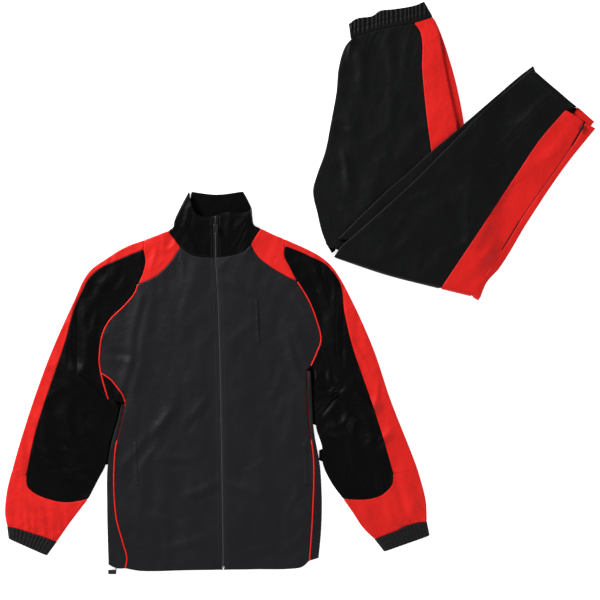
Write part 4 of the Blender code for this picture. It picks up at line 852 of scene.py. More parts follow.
JOINED = Edge(0.0, SEWN, 0, 0, None, 0.0)
GATHERED = sewn(0.25)
FREE_ON = sewn(0.4)
SLIT = sewn(0.3)
GAPING = sewn(1.2)
MOUTH = sewn(1.9)
BODY_FOLD = rolled(3.0, FOLD_LIP)
STRIPE_FOLD = rolled(2.4, 2.2)
LEG_FOLD = rolled(3.0, 3.0, on_under_layer)
KNEE_FOLD = rolled(KNEE_FOLD_WIDTH, 8.0, under_knee)
CUFF_PULL = (7.5, 2.2, 20)
HEM_PULL = (13.0, 0.45, 18)


def make_fronts():
    right = Panel(
        bottom=[(seam("right_hem"), FREE)],
        right=[(seam("zip_body"), ZIPPED)],
        top=[(seam("right_insert_front"), PLAIN), (seam("right_collar_seam"), PLAIN)],
        left=[(seam("right_side"), PIPED), (seam("right_gusset"), PIPED), (seam("right_armhole"), PIPED)],
    )
    pulls = (("bottom", *HEM_PULL), ("right", 17, 0.28, 9), ("top", 12, 0.3, 9), ("left", 16, 0.3, 10))
    dress("Right_front", ["right_front"], [right.build(jacket_height, pulls)], BODY_BLACK, 1.5)
    left = Panel(
        bottom=[(seam("left_hem"), FREE)],
        right=[(seam("left_side"), PIPED), (seam("left_armpit"), PIPED), (seam("left_armhole"), PIPED)],
        top=[(seam("-left_collar_seam"), PLAIN), (seam("-left_insert_front"), PLAIN)],
        left=[(seam("zip_body"), ZIPPED)],
    )
    pulls = (("bottom", *HEM_PULL), ("left", 17, 0.28, 9), ("top", 12, 0.3, 9), ("right", 16, 0.3, 10))
    dress("Left_front", ["left_front"], [left.build(jacket_height, pulls)], BODY_BLACK, -1.5)


def make_side_panels():
    right = Panel(
        bottom=[(seam("right_side_hem"), FREE)],
        right=[(seam("right_side"), PIPED)],
        top=[(straight((-377, -245), (-368, -240)), PLAIN)],
        left=[(seam("right_outline"), STRIPE_FOLD)],
        columns=7,
    )
    dress("Right_side_panel", ["right_side_panel"], [right.build(jacket_height, (("right", 15, 0.25, 8),))],
          BODY_BLACK)
    left = Panel(
        bottom=[(seam("left_side_hem"), FREE)],
        right=[(seam("left_outline"), STRIPE_FOLD)],
        top=[(straight((12, -173), (21, -173)), PLAIN)],
        left=[(seam("left_side"), PIPED)],
        columns=6,
    )
    dress("Left_side_panel", ["left_side_panel"], [left.build(jacket_height, (("left", 15, 0.25, 8),))],
          BODY_BLACK)
    gusset = Panel(
        bottom=[(straight((-404, -232), (-368, -240)), PLAIN)],
        right=[(seam("right_gusset", 60)[:57], PIPED)],
        top=[(straight(seam("right_branch", 60)[3], seam("right_gusset", 60)[56]), PLAIN)],
        left=[(seam("-right_branch", 60)[:58], PIPED)],
        columns=8,
        cell=3,
    )
    dress("Right_underarm_gusset", ["right_underarm_gusset"], [gusset.build(jacket_height)], SLEEVE_BLACK)


def make_inserts():
    right = Panel(
        bottom=[(seam("right_insert_front"), PLAIN)],
        right=[(seam("-right_neck"), PLAIN)],
        top=[(seam("-right_shoulder"), BODY_FOLD)],
        left=[(seam("right_insert_sleeve"), PLAIN), (seam("right_cap"), PLAIN)],
        cell=3,
    )
    dress("Right_shoulder_insert", ["right_shoulder_insert"],
          [right.build(jacket_height, (("bottom", 14, 0.25, 8), ("left", 12, 0.25, 8)))], JACKET_RED,
          30)
    left = Panel(
        bottom=[(seam("-left_insert_front"), PLAIN)],
        right=[(seam("left_insert_sleeve"), PLAIN), (seam("left_cap"), PLAIN)],
        top=[(seam("left_shoulder"), BODY_FOLD)],
        left=[(seam("-left_neck"), PLAIN)],
        cell=3,
    )
    dress("Left_shoulder_insert", ["left_shoulder_insert"],
          [left.build(jacket_height, (("bottom", 14, 0.25, 8), ("right", 12, 0.25, 8)))], JACKET_RED,
          -30)


def joined_stripe(upper, lower, first):
    """Shares the row of points where a narrow stripe runs on into the lower sleeve."""
    count = upper.shape[1] - len(SEWN) + 1
    if first:
        lower[-1, :count] = upper[0, :count]
    else:
        lower[-1, -count:] = upper[0, -count:]
    return [upper, lower]


def make_sleeves():
    right = Panel(
        bottom=[(seam("right_stripe_end"), PLAIN)],
        right=[(seam("-right_underarm"), BODY_FOLD)],
        top=[(seam("-right_insert_sleeve"), PLAIN), (seam("-right_armhole"), PIPED), (seam("right_branch"), PIPED),
             (seam("right_pit"), PLAIN)],
        left=[(seam("-right_stripe"), PLAIN)],
    )
    pulls = (("top", 13, 0.5, 12), ("left", 19, 0.35, 12), ("bottom", 12, 0.35, 9))
    dress("Right_sleeve_front", ["right_sleeve_front"], [right.build(jacket_height, pulls)], SLEEVE_BLACK,
          -20)
    left = Panel(
        bottom=[(seam("-left_stripe_end"), PLAIN)],
        right=[(seam("-left_stripe"), PLAIN)],
        top=[(seam("left_armhole"), PIPED), (seam("left_insert_sleeve"), PLAIN)],
        left=[(seam("-left_underarm"), BODY_FOLD)],
    )
    pulls = (("top", 13, 0.5, 12), ("right", 19, 0.35, 12), ("bottom", 12, 0.35, 9))
    dress("Left_sleeve_front", ["left_sleeve_front"], [left.build(jacket_height, pulls)], SLEEVE_BLACK,
          20)

    end = straight((-606, -381), (-576, -390))
    lower = Panel(
        bottom=[(seam("right_cuff_seam"), PLAIN)],
        right=[(seam("-right_forearm"), BODY_FOLD)],
        top=[(end, JOINED), (seam("right_stripe_end"), PLAIN)],
        left=[(seam("-right_sleeve_low"), BODY_FOLD)],
    )
    across = across_from(seam("-right_stripe"), "-right_sleeve_outline")
    upper = Panel(
        bottom=[(end, JOINED)],
        right=[(seam("-right_stripe"), PLAIN)],
        top=[(seam("-right_cap"), PLAIN)],
        left=[(across, STRIPE_FOLD)],
        columns=lower.shares[2][0],
    )
    pulls = (("bottom", *CUFF_PULL), ("bottom", 19, 1.8, 50), ("top", 13, 0.6, 12))
    dress("Right_sleeve_stripe", ["right_sleeve_stripe"],
          joined_stripe(upper.build(jacket_height), lower.build(jacket_height, pulls), True), JACKET_RED,
          -20, spans=(0.16, 0.66))
    end = straight((194, -388), (244, -377))
    lower = Panel(
        bottom=[(seam("-left_cuff_seam"), PLAIN)],
        right=[(seam("-left_sleeve_low"), BODY_FOLD)],
        top=[(seam("-left_stripe_end"), PLAIN), (end, JOINED)],
        left=[(seam("-left_forearm"), BODY_FOLD)],
    )
    across = across_from(seam("-left_stripe"), "-left_sleeve_outline")
    upper = Panel(
        bottom=[(end, JOINED)],
        right=[(across, STRIPE_FOLD)],
        top=[(seam("left_cap"), PLAIN)],
        left=[(seam("-left_stripe"), PLAIN)],
        columns=lower.shares[2][1],
    )
    dress("Left_sleeve_stripe", ["left_sleeve_stripe"],
          joined_stripe(upper.build(jacket_height), lower.build(jacket_height, pulls), False), JACKET_RED,
          20, spans=(0.16, 0.66))


def make_backs():
    under = FOLD_WIDTH + FOLD_LIP + 1.5
    armhole = seam("left_armhole", 13)[1:]
    right_pit, left_pit = seam("-right_underarm", 60), seam("left_underarm", 60)
    right_side = seam("-right_outline", 36)
    right_side[:, 0] += np.interp(right_side[:, 1], (-345, -300), (under, -1.0))
    sides = {
        "Back_panel": (
            (straight((-393, -579), (26, -565)), 1.0), (seam("left_outline", 12) - np.array([under, 0]), 0),
            (armhole, 0.4), (straight((-35, 92), (-108, 111)), 0.4), (straight((-108, 111), (-258, 111)), 0.4),
            (straight((-258, 111), (-328, 92)), 0.4), (straight((-342, 8), (-347, -7)), 0.4),
            (seam("-right_armhole", 12)[2:], 0.4), (straight((-408, -224), (-376, -243)), 0.4),
            (right_side, 0),
        ),
        "Right_sleeve_back": (
            (seam("right_cuff_seam", 10), 0.4), (seam("-right_forearm", 5), under), (right_pit[:24], under),
            (right_pit[23:], -9.0),
            (straight((-412, -222), (-420, -177)), 0.4), (seam("right_armhole", 12), 0.4),
            (straight((-342, 8), (-328, 102)), 0.4), (seam("right_sleeve_outline", 14), under),
            (seam("right_sleeve_low", 5), under),
        ),
        "Left_sleeve_back": (
            (seam("-left_cuff_seam", 10), 0.4), (seam("-left_sleeve_low", 5), under),
            (seam("-left_sleeve_outline", 14), under), (straight((-35, 104), (-7, 14)), 0.4),
            (armhole[::-1], 0.4), (left_pit[:27], -7.0), (left_pit[26:37], under), (left_pit[36:43], -7.0),
            (left_pit[42:], under), (seam("left_forearm", 5), under),
        ),
    }
    for name, runs in sides.items():
        finish = BODY_BLACK if name == "Back_panel" else SLEEVE_BLACK
        loop = np.vstack([line[:-1] for line, inset in runs])
        insets = [inset for line, inset in runs for step in line[:-1]]
        made = flat_piece(name, inset_loop(loop, insets), finish, WALL)
        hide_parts(name.lower())


def flat_piece(name, loop, finish, thickness):
    """A single layer that lies flat on the surface."""
    mesh = bpy.data.meshes.new(name)
    spots = to_metres(np.column_stack([loop, np.full(len(loop), thickness)]))
    mesh.from_pydata(spots.tolist(), [], [list(range(len(loop)))])
    layer = mesh.uv_layers.new(name="Grain")
    layer.data.foreach_set("uv", spots[:, :2].astype(np.float32).ravel())
    mesh.materials.append(finish)
    made = bpy.data.objects.new(name, mesh)
    bpy.context.scene.collection.objects.link(made)
    wall = made.modifiers.new("Cloth thickness", "SOLIDIFY")
    wall.thickness = thickness * MM
    wall.offset = -1
    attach(made, "suit")
    return made


def make_collar():
    right = Panel(
        bottom=[(seam("right_neck"), PLAIN), (seam("right_collar_seam"), PLAIN)],
        right=[(seam("zip_collar"), ZIPPED)],
        top=[(seam("right_collar_top"), FREE)],
        left=[(seam("right_collar_side"), rolled(4.0, 2.0))],
        cell=3,
    )
    dress("Right_collar_front", ["right_collar_front"], [right.build(collar_height, (("bottom", 12, 0.3, 8),))],
          SLEEVE_BLACK)
    left = Panel(
        bottom=[(seam("-left_collar_seam"), PLAIN), (seam("-left_neck"), PLAIN)],
        right=[(seam("left_collar_side"), rolled(4.0, 2.0))],
        top=[(seam("-left_collar_top"), FREE)],
        left=[(seam("zip_collar"), ZIPPED)],
        cell=3,
    )
    dress("Left_collar_front", ["left_collar_front"], [left.build(collar_height, (("bottom", 12, 0.3, 8),))],
          SLEEVE_BLACK)
    back = Panel(
        bottom=[(straight((-258, 114.5), (-108, 114.5)), FREE)],
        right=[(smooth_line(((-108, 114.5), (-103.5, 164), (-112, 185), (-122, 203.5)), 40), PLAIN)],
        top=[(smooth_line(((-236, 204), (-177, 197), (-122, 203.5)), 40), FREE)],
        left=[(straight((-252, 114.5), (-236, 204)), Edge(7.0, SEWN, 0, 0, None))],
    )
    dress("Collar_back", ["collar_back"],
          [back.build(lambda x, y, v: WALL + 4.0 * v * v + uneven(x, y, 30, 0.3, 9.1))], SLEEVE_BLACK)


def tube(name, line, heights, radius, finish, ring=10):
    """A round bar along a line of (x, y) points."""
    path = np.column_stack([line, heights])
    ahead = np.gradient(path, axis=0)
    ahead /= np.linalg.norm(ahead, axis=1)[:, None]
    across = np.cross(ahead, (0, 0, 1.0))
    across /= np.linalg.norm(across, axis=1)[:, None]
    up = np.cross(across, ahead)
    turns = np.linspace(0, 2 * math.pi, ring, endpoint=False)
    spots = (path[:, None] + radius * (np.cos(turns)[None, :, None] * across[:, None]
                                       + np.sin(turns)[None, :, None] * up[:, None])).reshape(-1, 3)
    faces = [[i * ring + k, i * ring + (k + 1) % ring, (i + 1) * ring + (k + 1) % ring, (i + 1) * ring + k]
             for i in range(len(path) - 1) for k in range(ring)]
    last = (len(path) - 1) * ring
    faces += [list(range(ring))[::-1], list(range(last, last + ring))]
    return whole_mesh(name, spots, faces, finish)


def whole_mesh(name, spots, faces, finish):
    mesh = bpy.data.meshes.new(name)
    mesh.from_pydata(to_metres(spots).tolist(), [], faces)
    bm = bmesh.new()
    bm.from_mesh(mesh)
    bmesh.ops.recalc_face_normals(bm, faces=bm.faces)
    bm.to_mesh(mesh)
    bm.free()
    mesh.shade_smooth()
    mesh.materials.append(finish)
    made = bpy.data.objects.new(name, mesh)
    bpy.context.scene.collection.objects.link(made)
    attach(made, "suit")
    return made


def make_piping():
    armhole = np.vstack([seam("right_gusset", 30), seam("right_armhole", 90)[1:]])
    lines = {
        "Right_armhole_piping": armhole,
        "Right_gusset_piping": seam("right_branch", 24)[1:],
        "Left_armhole_piping": seam("left_armhole", 90),
        "Right_side_piping": seam("right_side", 150)[:-1],
        "Left_side_piping": seam("left_side", 170),
    }
    for name, line in lines.items():
        heights = jacket_height(line[:, 0], line[:, 1]) - 0.45 + uneven(line[:, 0], line[:, 1], 9, 0.25, 3.3)
        if name.endswith("side_piping"):
            heights -= 5.0 * np.clip((line[:, 1] + 325) / 14, 0, 1)
            heights = np.maximum(heights, PIPING_RADIUS + 0.2)
        made = tube(name, line, heights, PIPING_RADIUS, PIPING_RED)
        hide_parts(name.lower())


def small_block(name, size, bevel):
    """One tooth or stitch, modelled as a rounded block: its points and faces."""
    bpy.ops.mesh.primitive_cube_add(size=1)
    block = bpy.context.object
    block.scale = size
    bpy.ops.object.transform_apply(location=False, rotation=False, scale=True)
    edges = block.modifiers.new("Rounded edges", "BEVEL")
    edges.width, edges.segments = bevel, 1
    bpy.ops.object.modifier_apply(modifier=edges.name)
    points = np.array([vert.co[:] for vert in block.data.vertices])
    faces = [list(face.vertices) for face in block.data.polygons]
    bpy.data.objects.remove(block, do_unlink=True)
    return points, faces


def rows_of(name, shape, places, finish, node=None):
    """Copies a small shape to every (x, y, z, heading) place as one piece."""
    points, faces = shape
    spots, all_faces = [], []
    for x, y, z, heading in places:
        c, s = math.cos(heading), math.sin(heading)
        turned_points = points @ np.array([[c, s, 0], [-s, c, 0], [0, 0, 1]])
        all_faces.extend([[k + len(spots) * len(points) for k in face] for face in faces])
        spots.append(turned_points + (x, y, z))
    made = whole_mesh(name, np.vstack(spots), all_faces, finish)
    if node:
        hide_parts(node)
    return made


def headings(line):
    ahead = np.gradient(line, axis=0)
    return np.arctan2(ahead[:, 1], ahead[:, 0])


def top_at(x, y, pieces):
    """The height of the cloth at a place in table millimetres, or None where none of the pieces is on top."""
    spot = Vector(((x - MIDDLE[0]) * MM, (y - MIDDLE[1]) * MM, 0.06))
    best, owner = -1.0, None
    for name, surface in SURFACES.items():
        hit = surface.ray_cast(spot, Vector((0, 0, -1)))[0]
        if hit is not None and hit.z > best:
            best, owner = hit.z, name
    return best / MM if owner in pieces else None


def stitch_row(line, *pieces, pitch=STITCH_PITCH):
    """Places of stitches along a line, lying on the pieces that they are sewn through."""
    runs = max(2, round(length_along(line)[-1] / pitch))
    cut = resample(line, runs)
    return [(x, y, top + 0.02, heading) for (x, y), heading in zip(cut, headings(cut))
            if (top := top_at(x, y, pieces)) is not None]


def make_zip():
    body, collar = seam("zip_body", 160)[1:], seam("zip_collar", 24)
    low = jacket_height(body[:, 0], body[:, 1])
    high = collar_height(collar[:, 0], collar[:, 1], np.linspace(0, 1, len(collar)))
    line = np.vstack([body, collar[1:]])
    tops = np.concatenate([low, high[1:]])
    tape = [line + np.array([[across, 0]]) for across in (-6.5, -3, 3, 6.5)]
    grid = np.stack([np.column_stack([column, tops - 2.2]) for column in tape], axis=1)
    made = sheet_object("Front_zip_tape", [grid], TAPE_BLACK, 0, 0.6)
    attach(made, "suit")
    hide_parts("front_zip")
    cut_area([grid])
    count = round(length_along(line)[-1] / TOOTH_PITCH)
    path = resample(np.column_stack([line, tops - 0.9]), count)
    tooth = small_block("Tooth", (1.25, 2.7, 1.5), 0.3)
    places = [(x + (0.35 if k % 2 else -0.35), y, z, 0.0) for k, (x, y, z) in enumerate(path)]
    rows_of("Front_zip_teeth", (tooth[0][:, [1, 0, 2]] * 0.8, [face[::-1] for face in tooth[1]]), places, TEETH_GREY)
    slit = seam("leg_slit", 300)
    slit = slit[int(0.26 * len(slit)) :]
    count = round(length_along(slit)[-1] / 1.7)
    cut = resample(slit, count)
    tops = leg_height(cut[:, 0], cut[:, 1]) - 0.9
    turns = headings(cut)
    places = [(x, y, z, turn + (0.5 if k % 2 else -0.5)) for k, ((x, y), z, turn) in enumerate(zip(cut, tops, turns))]
    rows_of("Ankle_zip_coil", small_block("Coil", (0.8, 2.2, 1.3), 0.25), places, TAPE_BLACK,
            "ankle_zip")


def make_welts():
    for name, trim in WELTS.items():
        start, end = np.array((trim.x1, trim.y1), float), np.array((trim.x2, trim.y2), float)
        along = (end - start) / np.linalg.norm(end - start)
        side = np.array((along[1], -along[0])) * trim.width / 2
        left, right = sorted((side, -side), key=lambda value: value[0])
        strip = Panel(
            bottom=[(straight(end + left, end + right), PLAIN)], right=[(straight(end + right, start + right), PLAIN)],
            top=[(straight(start + left, start + right), PLAIN)], left=[(straight(end + left, start + left), PLAIN)],
            cell=1.5, columns=4,
        )
        dress(name.capitalize(), [name], [strip.build(lambda x, y, v: jacket_height(x, y) + 1.2)], BODY_BLACK,
              thickness=1.0)


def make_cuff(name, seam_name, start, end, node):
    """A closed elastic band, gathered round the sleeve's end."""
    top = seam(seam_name, 200)
    foot = straight(start, end)
    around, rows = 240, 12
    ring = np.linspace(0, 2, around, endpoint=False)
    share = np.where(ring <= 1, ring, 2 - ring)
    rounded = (1 - np.abs(2 * share - 1) ** 8) ** 0.5
    gather = 0.9 * np.cos(2 * math.pi * 13 * share + 0.8 * np.sin(9 * share)) * np.minimum(1, 6 * share * (1 - share))
    ribs = 0.12 * np.cos(2 * math.pi * 42 * share)
    ridge = []
    for t in np.linspace(0, 1, rows):
        a, b = resample(top, 200), resample(foot, 200)
        spine = a * (1 - t) + b * t
        ahead = (foot[0] + foot[-1] - top[0] - top[-1]) / 2
        spine = spine + ahead / np.linalg.norm(ahead) * 0.6 * (1 - t)
        places = np.column_stack([np.interp(share, np.linspace(0, 1, 201), spine[:, axis]) for axis in (0, 1)])
        pinch = 1 - 0.12 * math.sin(math.pi * t) + (0.05 if 0.42 < t < 0.58 else 0)
        z = np.where(ring <= 1, (JACKET_TOP + 1.4 + gather + ribs) * rounded * pinch, 0.0)
        ridge.append(np.column_stack([places, np.maximum(z, 0)]))
    points = np.stack(ridge)
    closed = np.concatenate([points, points[:, :1]], axis=1)
    made = sheet_object(name, [closed[::-1]], CUFF_KNIT, 0, 1.2)
    wide, deep = grid_spans([closed])
    girth = np.linspace(0, wide, around + 1)
    layer = made.data.uv_layers["Grain"]
    for loop in made.data.loops:
        row, column = divmod(loop.vertex_index, around + 1)
        layer.data[loop.index].uv = (girth[column], row * deep / rows)
    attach(made, "suit")
    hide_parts(node)
    cut_area([closed])


def layered(name, node, runs, rings, top, lifted):
    """Hidden layers as one rounded body, whose rim shows the edges of its layers."""
    loop = np.vstack([line[:-1] for line, inset in runs])
    insets = np.array([inset for line, inset in runs for step in line[:-1]])
    loops = [np.column_stack([inset_loop(loop, insets + extra), np.full(len(loop), float(height))])
             for height, extra in rings + ((top, rings[-1][1]),)]
    count = len(loop)
    faces = [[i * count + k, i * count + (k + 1) % count, (i + 1) * count + (k + 1) % count, (i + 1) * count + k]
             for i in range(len(loops) - 1) for k in range(count)]
    faces += [list(range(count))[::-1], list(range((len(loops) - 1) * count, len(loops) * count))]
    made = whole_mesh(name, np.vstack(loops), faces, TROUSER_BLACK)
    if lifted:
        bm = bmesh.new()
        bm.from_mesh(made.data)
        for place in range(368, 434, 5):
            across = ((place - MIDDLE[0]) * MM, 0, 0)
            bmesh.ops.bisect_plane(bm, geom=bm.verts[:] + bm.edges[:] + bm.faces[:], plane_co=across, plane_no=(1, 0, 0))
        for vert in bm.verts:
            vert.co.z = max(vert.co.z + float(leg_shift(vert.co.x / MM + MIDDLE[0])) * MM, 0)
        bm.to_mesh(made.data)
        bm.free()
    made.data.uv_layers.new(name="Grain")
    grain = made.data.uv_layers["Grain"]
    for loop_at in made.data.loops:
        grain.data[loop_at.index].uv = made.data.vertices[loop_at.vertex_index].co.xy
    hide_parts(node)


LAYER_RINGS = ((0.0, 1.4), (0.6, 0.5), (1.3, 0.0), (2.0, 0.1), (2.6, 0.9), (3.0, 1.5), (3.5, 0.7), (4.2, 0.3),
               (4.9, 0.8), (5.2, 1.8))


def make_trousers():
    knee = KNEE_FOLD_WIDTH + 9.5
    tuck = 12.0
    rim = LAYER_RINGS + ((5.2, 8.0), (7.2, 8.0))
    layered("Thigh_layers", "thigh_layers", (
        (seam("thigh_knee_black", 24), knee), (seam("thigh_knee_stripe", 6), knee), (seam("thigh_fold", 40), tuck + 1),
        (seam("waist_right", 4), tuck + 1), (seam("-waist_edge", 24), 1.5), (seam("-waist_left", 4), 1.2),
        (seam("-thigh_outline", 48), 1.2)), rim, 8.2, False)
    front = Panel(
        bottom=[(seam("thigh_knee_black"), sewn(knee))],
        right=[(seam("thigh_stripe"), PLAIN)],
        top=[(seam("waist_seam_black"), GATHERED)],
        left=[(seam("thigh_outline"), LEG_FOLD)],
    )
    pulls = (("top", 11, 0.9, 26), ("top", 5.5, 0.4, 9), ("right", 22, 0.3, 12))
    dress("Thigh_panel", ["thigh_panel"], [front.build(thigh_height, pulls)], TROUSER_BLACK, -4)
    stripe = Panel(
        bottom=[(seam("thigh_knee_stripe"), sewn(knee))],
        right=[(seam("thigh_fold"), LEG_FOLD)],
        top=[(seam("waist_seam_red"), GATHERED)],
        left=[(seam("thigh_stripe"), PLAIN)],
    )
    dress("Thigh_stripe", ["thigh_stripe"], [stripe.build(thigh_height, (("left", 22, 0.3, 12), *pulls[:2]))],
          TROUSER_RED, -4)
    right = seam("under_thigh_outline")
    inner = seam("thigh_fold") - np.array([tuck, 0])
    under = Panel(
        bottom=[(straight(inner[0], right[0]), sewn(knee))],
        right=[(right, rolled(2.2, 3.0))],
        top=[(straight(inner[-1], right[-1]), PLAIN)],
        left=[(inner, PLAIN)],
    )
    dress("Under_thigh_stripe", ["under_thigh_stripe"], [under.build(under_height)], TROUSER_RED, -4)
    make_waistband()
    make_lower_legs(knee)


def make_waistband():
    band = Panel(
        bottom=[(seam("waist_seam"), GATHERED)],
        right=[(seam("waist_right"), rolled(3.0, 2.0, on_under_layer))],
        top=[(seam("waist_edge"), FREE)],
        left=[(seam("waist_left"), rolled(3.0, 2.0, on_under_layer))],
        cell=1.6, rows=16,
    )

    def gathers(x, y, v):
        share = (x - 104) / 172
        wave = np.sin(2 * math.pi * 20 * share + 1.2 * np.sin(17 * share)) * np.minimum(1, v * 3)
        fine = np.sin(2 * math.pi * 47 * share + 2.0 * np.sin(11 * share + 5 * v))
        channel = -0.5 * np.exp(-(((v - 0.5) / 0.07) ** 2))
        return LEG_TOP + 1.1 + 0.8 * wave + 0.35 * fine + channel

    dress("Waistband", ["waistband"], [band.build(gathers)], TROUSER_BLACK, -20)


def make_lower_legs(knee):
    rim = LAYER_RINGS + ((5.2, 8.0), (6.2, 8.0))
    layered("Lower_leg_layers", "lower_leg_layers", (
        (seam("knee_black", 30), knee + 3), (seam("knee_stripe", 8), knee + 3), (seam("knee_end", 4), knee + 3),
        (seam("leg_outline", 60), 2.2), (straight((617, 335), (597, 350.5)), 0.5),
        (straight((597, 350.5), (581, 361.5)), 0), (straight((581, 361.5), (578, 380)), 0),
        (seam("-hem_black", 14), 2.5), (seam("-inseam", 60), 22)), rim, 7.8, True)
    black = Panel(
        bottom=[(seam("knee_black"), KNEE_FOLD)],
        right=[(seam("leg_stripe"), PLAIN), (straight((554, 374), (578, 380)), FREE_ON)],
        top=[(seam("hem_black"), FREE)],
        left=[(seam("inseam"), LEG_FOLD)],
    )
    dress("Lower_leg_panel", ["lower_leg_panel"],
          [black.build(leg_height, (("right", 24, 0.3, 12), ("top", 9, 0.35, 9)), lifted=True)], TROUSER_BLACK,
          -42)
    slit = seam("leg_slit", 300)
    closed, gaping, zipped, mouth = slit[:79], slit[78:130], slit[129:262], slit[261:]
    inner = Panel(
        bottom=[(seam("knee_stripe"), KNEE_FOLD)],
        right=[(closed, JOINED), (gaping, GAPING), (zipped, SLIT), (mouth, MOUTH)],
        top=[(seam("hem_stripe"), FREE)],
        left=[(seam("leg_stripe"), PLAIN)],
        rows=110,
    )
    outer = Panel(
        bottom=[(seam("knee_end"), KNEE_FOLD)],
        right=[(seam("leg_outline"), LEG_FOLD)],
        top=[(seam("hem_end"), FREE)],
        left=[(closed, JOINED), (gaping, GAPING), (zipped, SLIT), (mouth, MOUTH)],
        rows=110,
    )
    joined = len(ROLL_ANGLES) + 1 + inner.shares[1][0] + 1
    inner = inner.build(leg_height, (("left", 24, 0.3, 12), ("top", 9, 0.35, 9)), lifted=True)
    outer = outer.build(leg_height, (("top", 9, 0.35, 9),), lifted=True)
    outer[:joined, 0] = inner[:joined, -1]
    dress("Leg_stripe", ["leg_stripe"], [inner, outer], TROUSER_RED, -38,
          spans=(0.14, 0.48))
    edge = seam("under_inseam")
    covered = resample(seam("inseam", 480)[50:], 240) + np.array([9.0, -9.0])
    under = Panel(
        bottom=[(covered, PLAIN)],
        right=[(straight(covered[-1], edge[-1]), FREE)],
        top=[(edge, rolled(2.2, 2.0))],
        left=[(straight(covered[0], edge[0]), PLAIN)],
        rows=6,
    )
    dress("Under_leg_edge", ["under_leg_edge"], [under.build(under_height, lifted=True)], TROUSER_BLACK,
          -42)
    hem = Panel(
        bottom=[(seam("under_hem_tuck"), PLAIN)],
        right=[(straight((600, 330), (615, 350)), FREE)],
        top=[(seam("under_hem"), FREE)],
        left=[(straight((564, 362), (581, 380)), PLAIN)],
        cell=3,
    )
    dress("Under_leg_hem", ["under_leg_hem"], [hem.build(lambda x, y, v: under_height(x, y) - 0.3)], TROUSER_RED,
          -38)



def make_stitching():
    stitch = small_block("Stitch", (STITCH_LENGTH, THREAD_WIDTH, 0.5), 0.15)
    fronts = ("Right_front", "Left_front")
    collars = ("Right_collar_front", "Left_collar_front")
    grey, black, red = [], [], []
    for distance in (-9.0, -4.0, 4.0, 9.0):
        grey += stitch_row(beside(seam("zip_body"), distance), *fronts)
        grey += stitch_row(beside(seam("zip_collar"), distance), *collars)
    side_panels = ("Right_side_panel", "Left_side_panel")
    for name in ("right_side_hem", "right_hem", "left_hem", "left_side_hem"):
        black += stitch_row(beside(seam(name), 22), *fronts, *side_panels)
    for name in ("right_collar_seam", "left_collar_seam"):
        black += stitch_row(beside(seam(name), 3.0), *collars)
    for name in ("right_insert_front", "left_insert_front"):
        black += stitch_row(beside(seam(name), -3.0), *fronts)
    for name in ("right_collar_top", "left_collar_top"):
        black += stitch_row(beside(seam(name), -5 if name.startswith("right") else 5), *collars)
    for trim in WELTS.values():
        line = straight((trim.x1, trim.y1), (trim.x2, trim.y2))
        for distance in (trim.width / 2 + 1.5, -trim.width / 2 - 1.5):
            black += stitch_row(beside(line, distance), *fronts)
    black += stitch_row(beside(seam("hem_black"), -14), "Lower_leg_panel")
    black += stitch_row(beside(seam("waist_seam"), -2.5), "Thigh_panel")
    red += stitch_row(beside(seam("hem_stripe"), -14), "Leg_stripe")
    red += stitch_row(straight((408, 98), (380, 66)), "Leg_stripe")
    red += stitch_row(beside(seam("thigh_stripe"), -3.0), "Thigh_stripe")
    red += stitch_row(beside(seam("leg_stripe"), -3.0), "Leg_stripe")
    rows_of("Grey_stitches", stitch, grey, GREY_THREAD)
    rows_of("Black_stitches", stitch, black, BLACK_THREAD)
    rows_of("Red_stitches", stitch, red, RED_THREAD)


def finish_hardware():
    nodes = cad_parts
    looks = {
        "front_zip_slider": DARK_METAL, "front_zip_pull_tab": DARK_METAL, "front_zip_stop": BRIGHT_METAL,
        "ankle_zip_slider": DARK_METAL, "ankle_zip_pull_tab": DARK_METAL, "hem_cord_stopper": MATT_PLASTIC,
        "hem_cord": TAPE_BLACK,
    }
    for name, look in looks.items():
        nodes[name].data.materials.clear()
        nodes[name].data.materials.append(look)


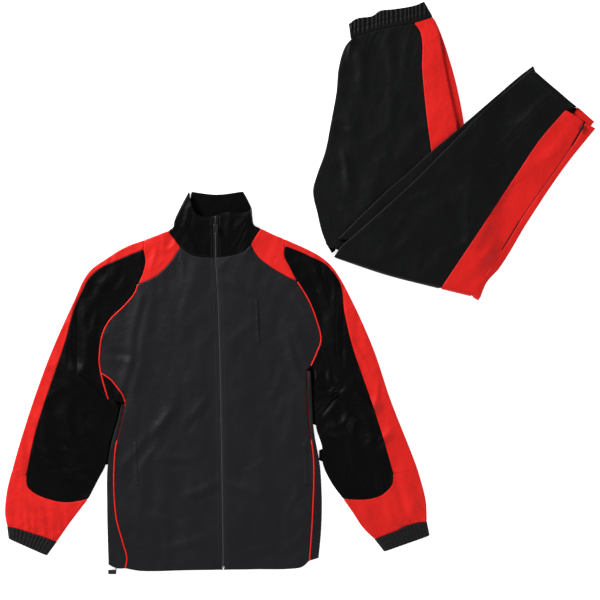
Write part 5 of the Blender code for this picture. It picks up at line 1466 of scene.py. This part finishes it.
def make_studio():
    camera = bpy.data.objects.new("Camera", bpy.data.cameras.new("Camera"))
    camera.location = (*CAMERA_AT, CAMERA_HEIGHT)
    camera.data.lens = CAMERA_LENS
    camera.data.sensor_width = 36
    bpy.context.scene.collection.objects.link(camera)
    bpy.context.scene.camera = camera
    mesh = bpy.data.meshes.new("Floor")
    reach = 4.0
    mesh.from_pydata([(-reach, -reach, -0.0004), (reach, -reach, -0.0004), (reach, reach, -0.0004),
                      (-reach, reach, -0.0004)], [], [(0, 1, 2, 3)])
    floor = bpy.data.objects.new("Floor", mesh)
    bpy.context.scene.collection.objects.link(floor)
    paper = Finish("White paper")
    tone = paper.noise(paper.place(), 0.8, 1)
    paper.dress(base_color=paper.between(tone, (0.95, 0.95, 0.95), (0.97, 0.97, 0.97)), roughness=tone * 0.05 + 0.9)
    paper.dress(emission_color=(1, 1, 1, 1), emission_strength=0.75)
    mesh.materials.append(paper.material)
    for name, place, size, power in (
        ("Window", (-2.3, 2.0, 1.35), 1.0, 172), ("Fill", (2.4, -1.2, 1.6), 1.6, 26), ("Foot", (-0.6, -2.8, 1.5), 1.6, 18),
    ):
        data = bpy.data.lights.new(name, "AREA")
        data.size, data.energy = size, power
        lamp = bpy.data.objects.new(name, data)
        lamp.location = place
        lamp.rotation_euler = (-Vector(place)).to_track_quat("-Z", "Y").to_euler()
        bpy.context.scene.collection.objects.link(lamp)
    world = bpy.data.worlds.new("Studio")
    bpy.context.scene.world = world
    world.use_nodes = True
    world.node_tree.nodes["Background"].inputs["Color"].default_value = (1, 1, 1, 1)
    world.node_tree.nodes["Background"].inputs["Strength"].default_value = 0.22
    bpy.context.scene.view_settings.view_transform = "Standard"


make_studio()
make_fronts()
make_side_panels()
make_inserts()
make_sleeves()
make_backs()
make_collar()
make_piping()
make_welts()
make_zip()
make_cuff("Right_cuff", "right_cuff_seam", (-614, -524), (-533, -560), "right_cuff")
make_cuff("Left_cuff", "-left_cuff_seam", (174, -552), (270, -518), "left_cuff")
make_trousers()
make_stitching()
finish_hardware()
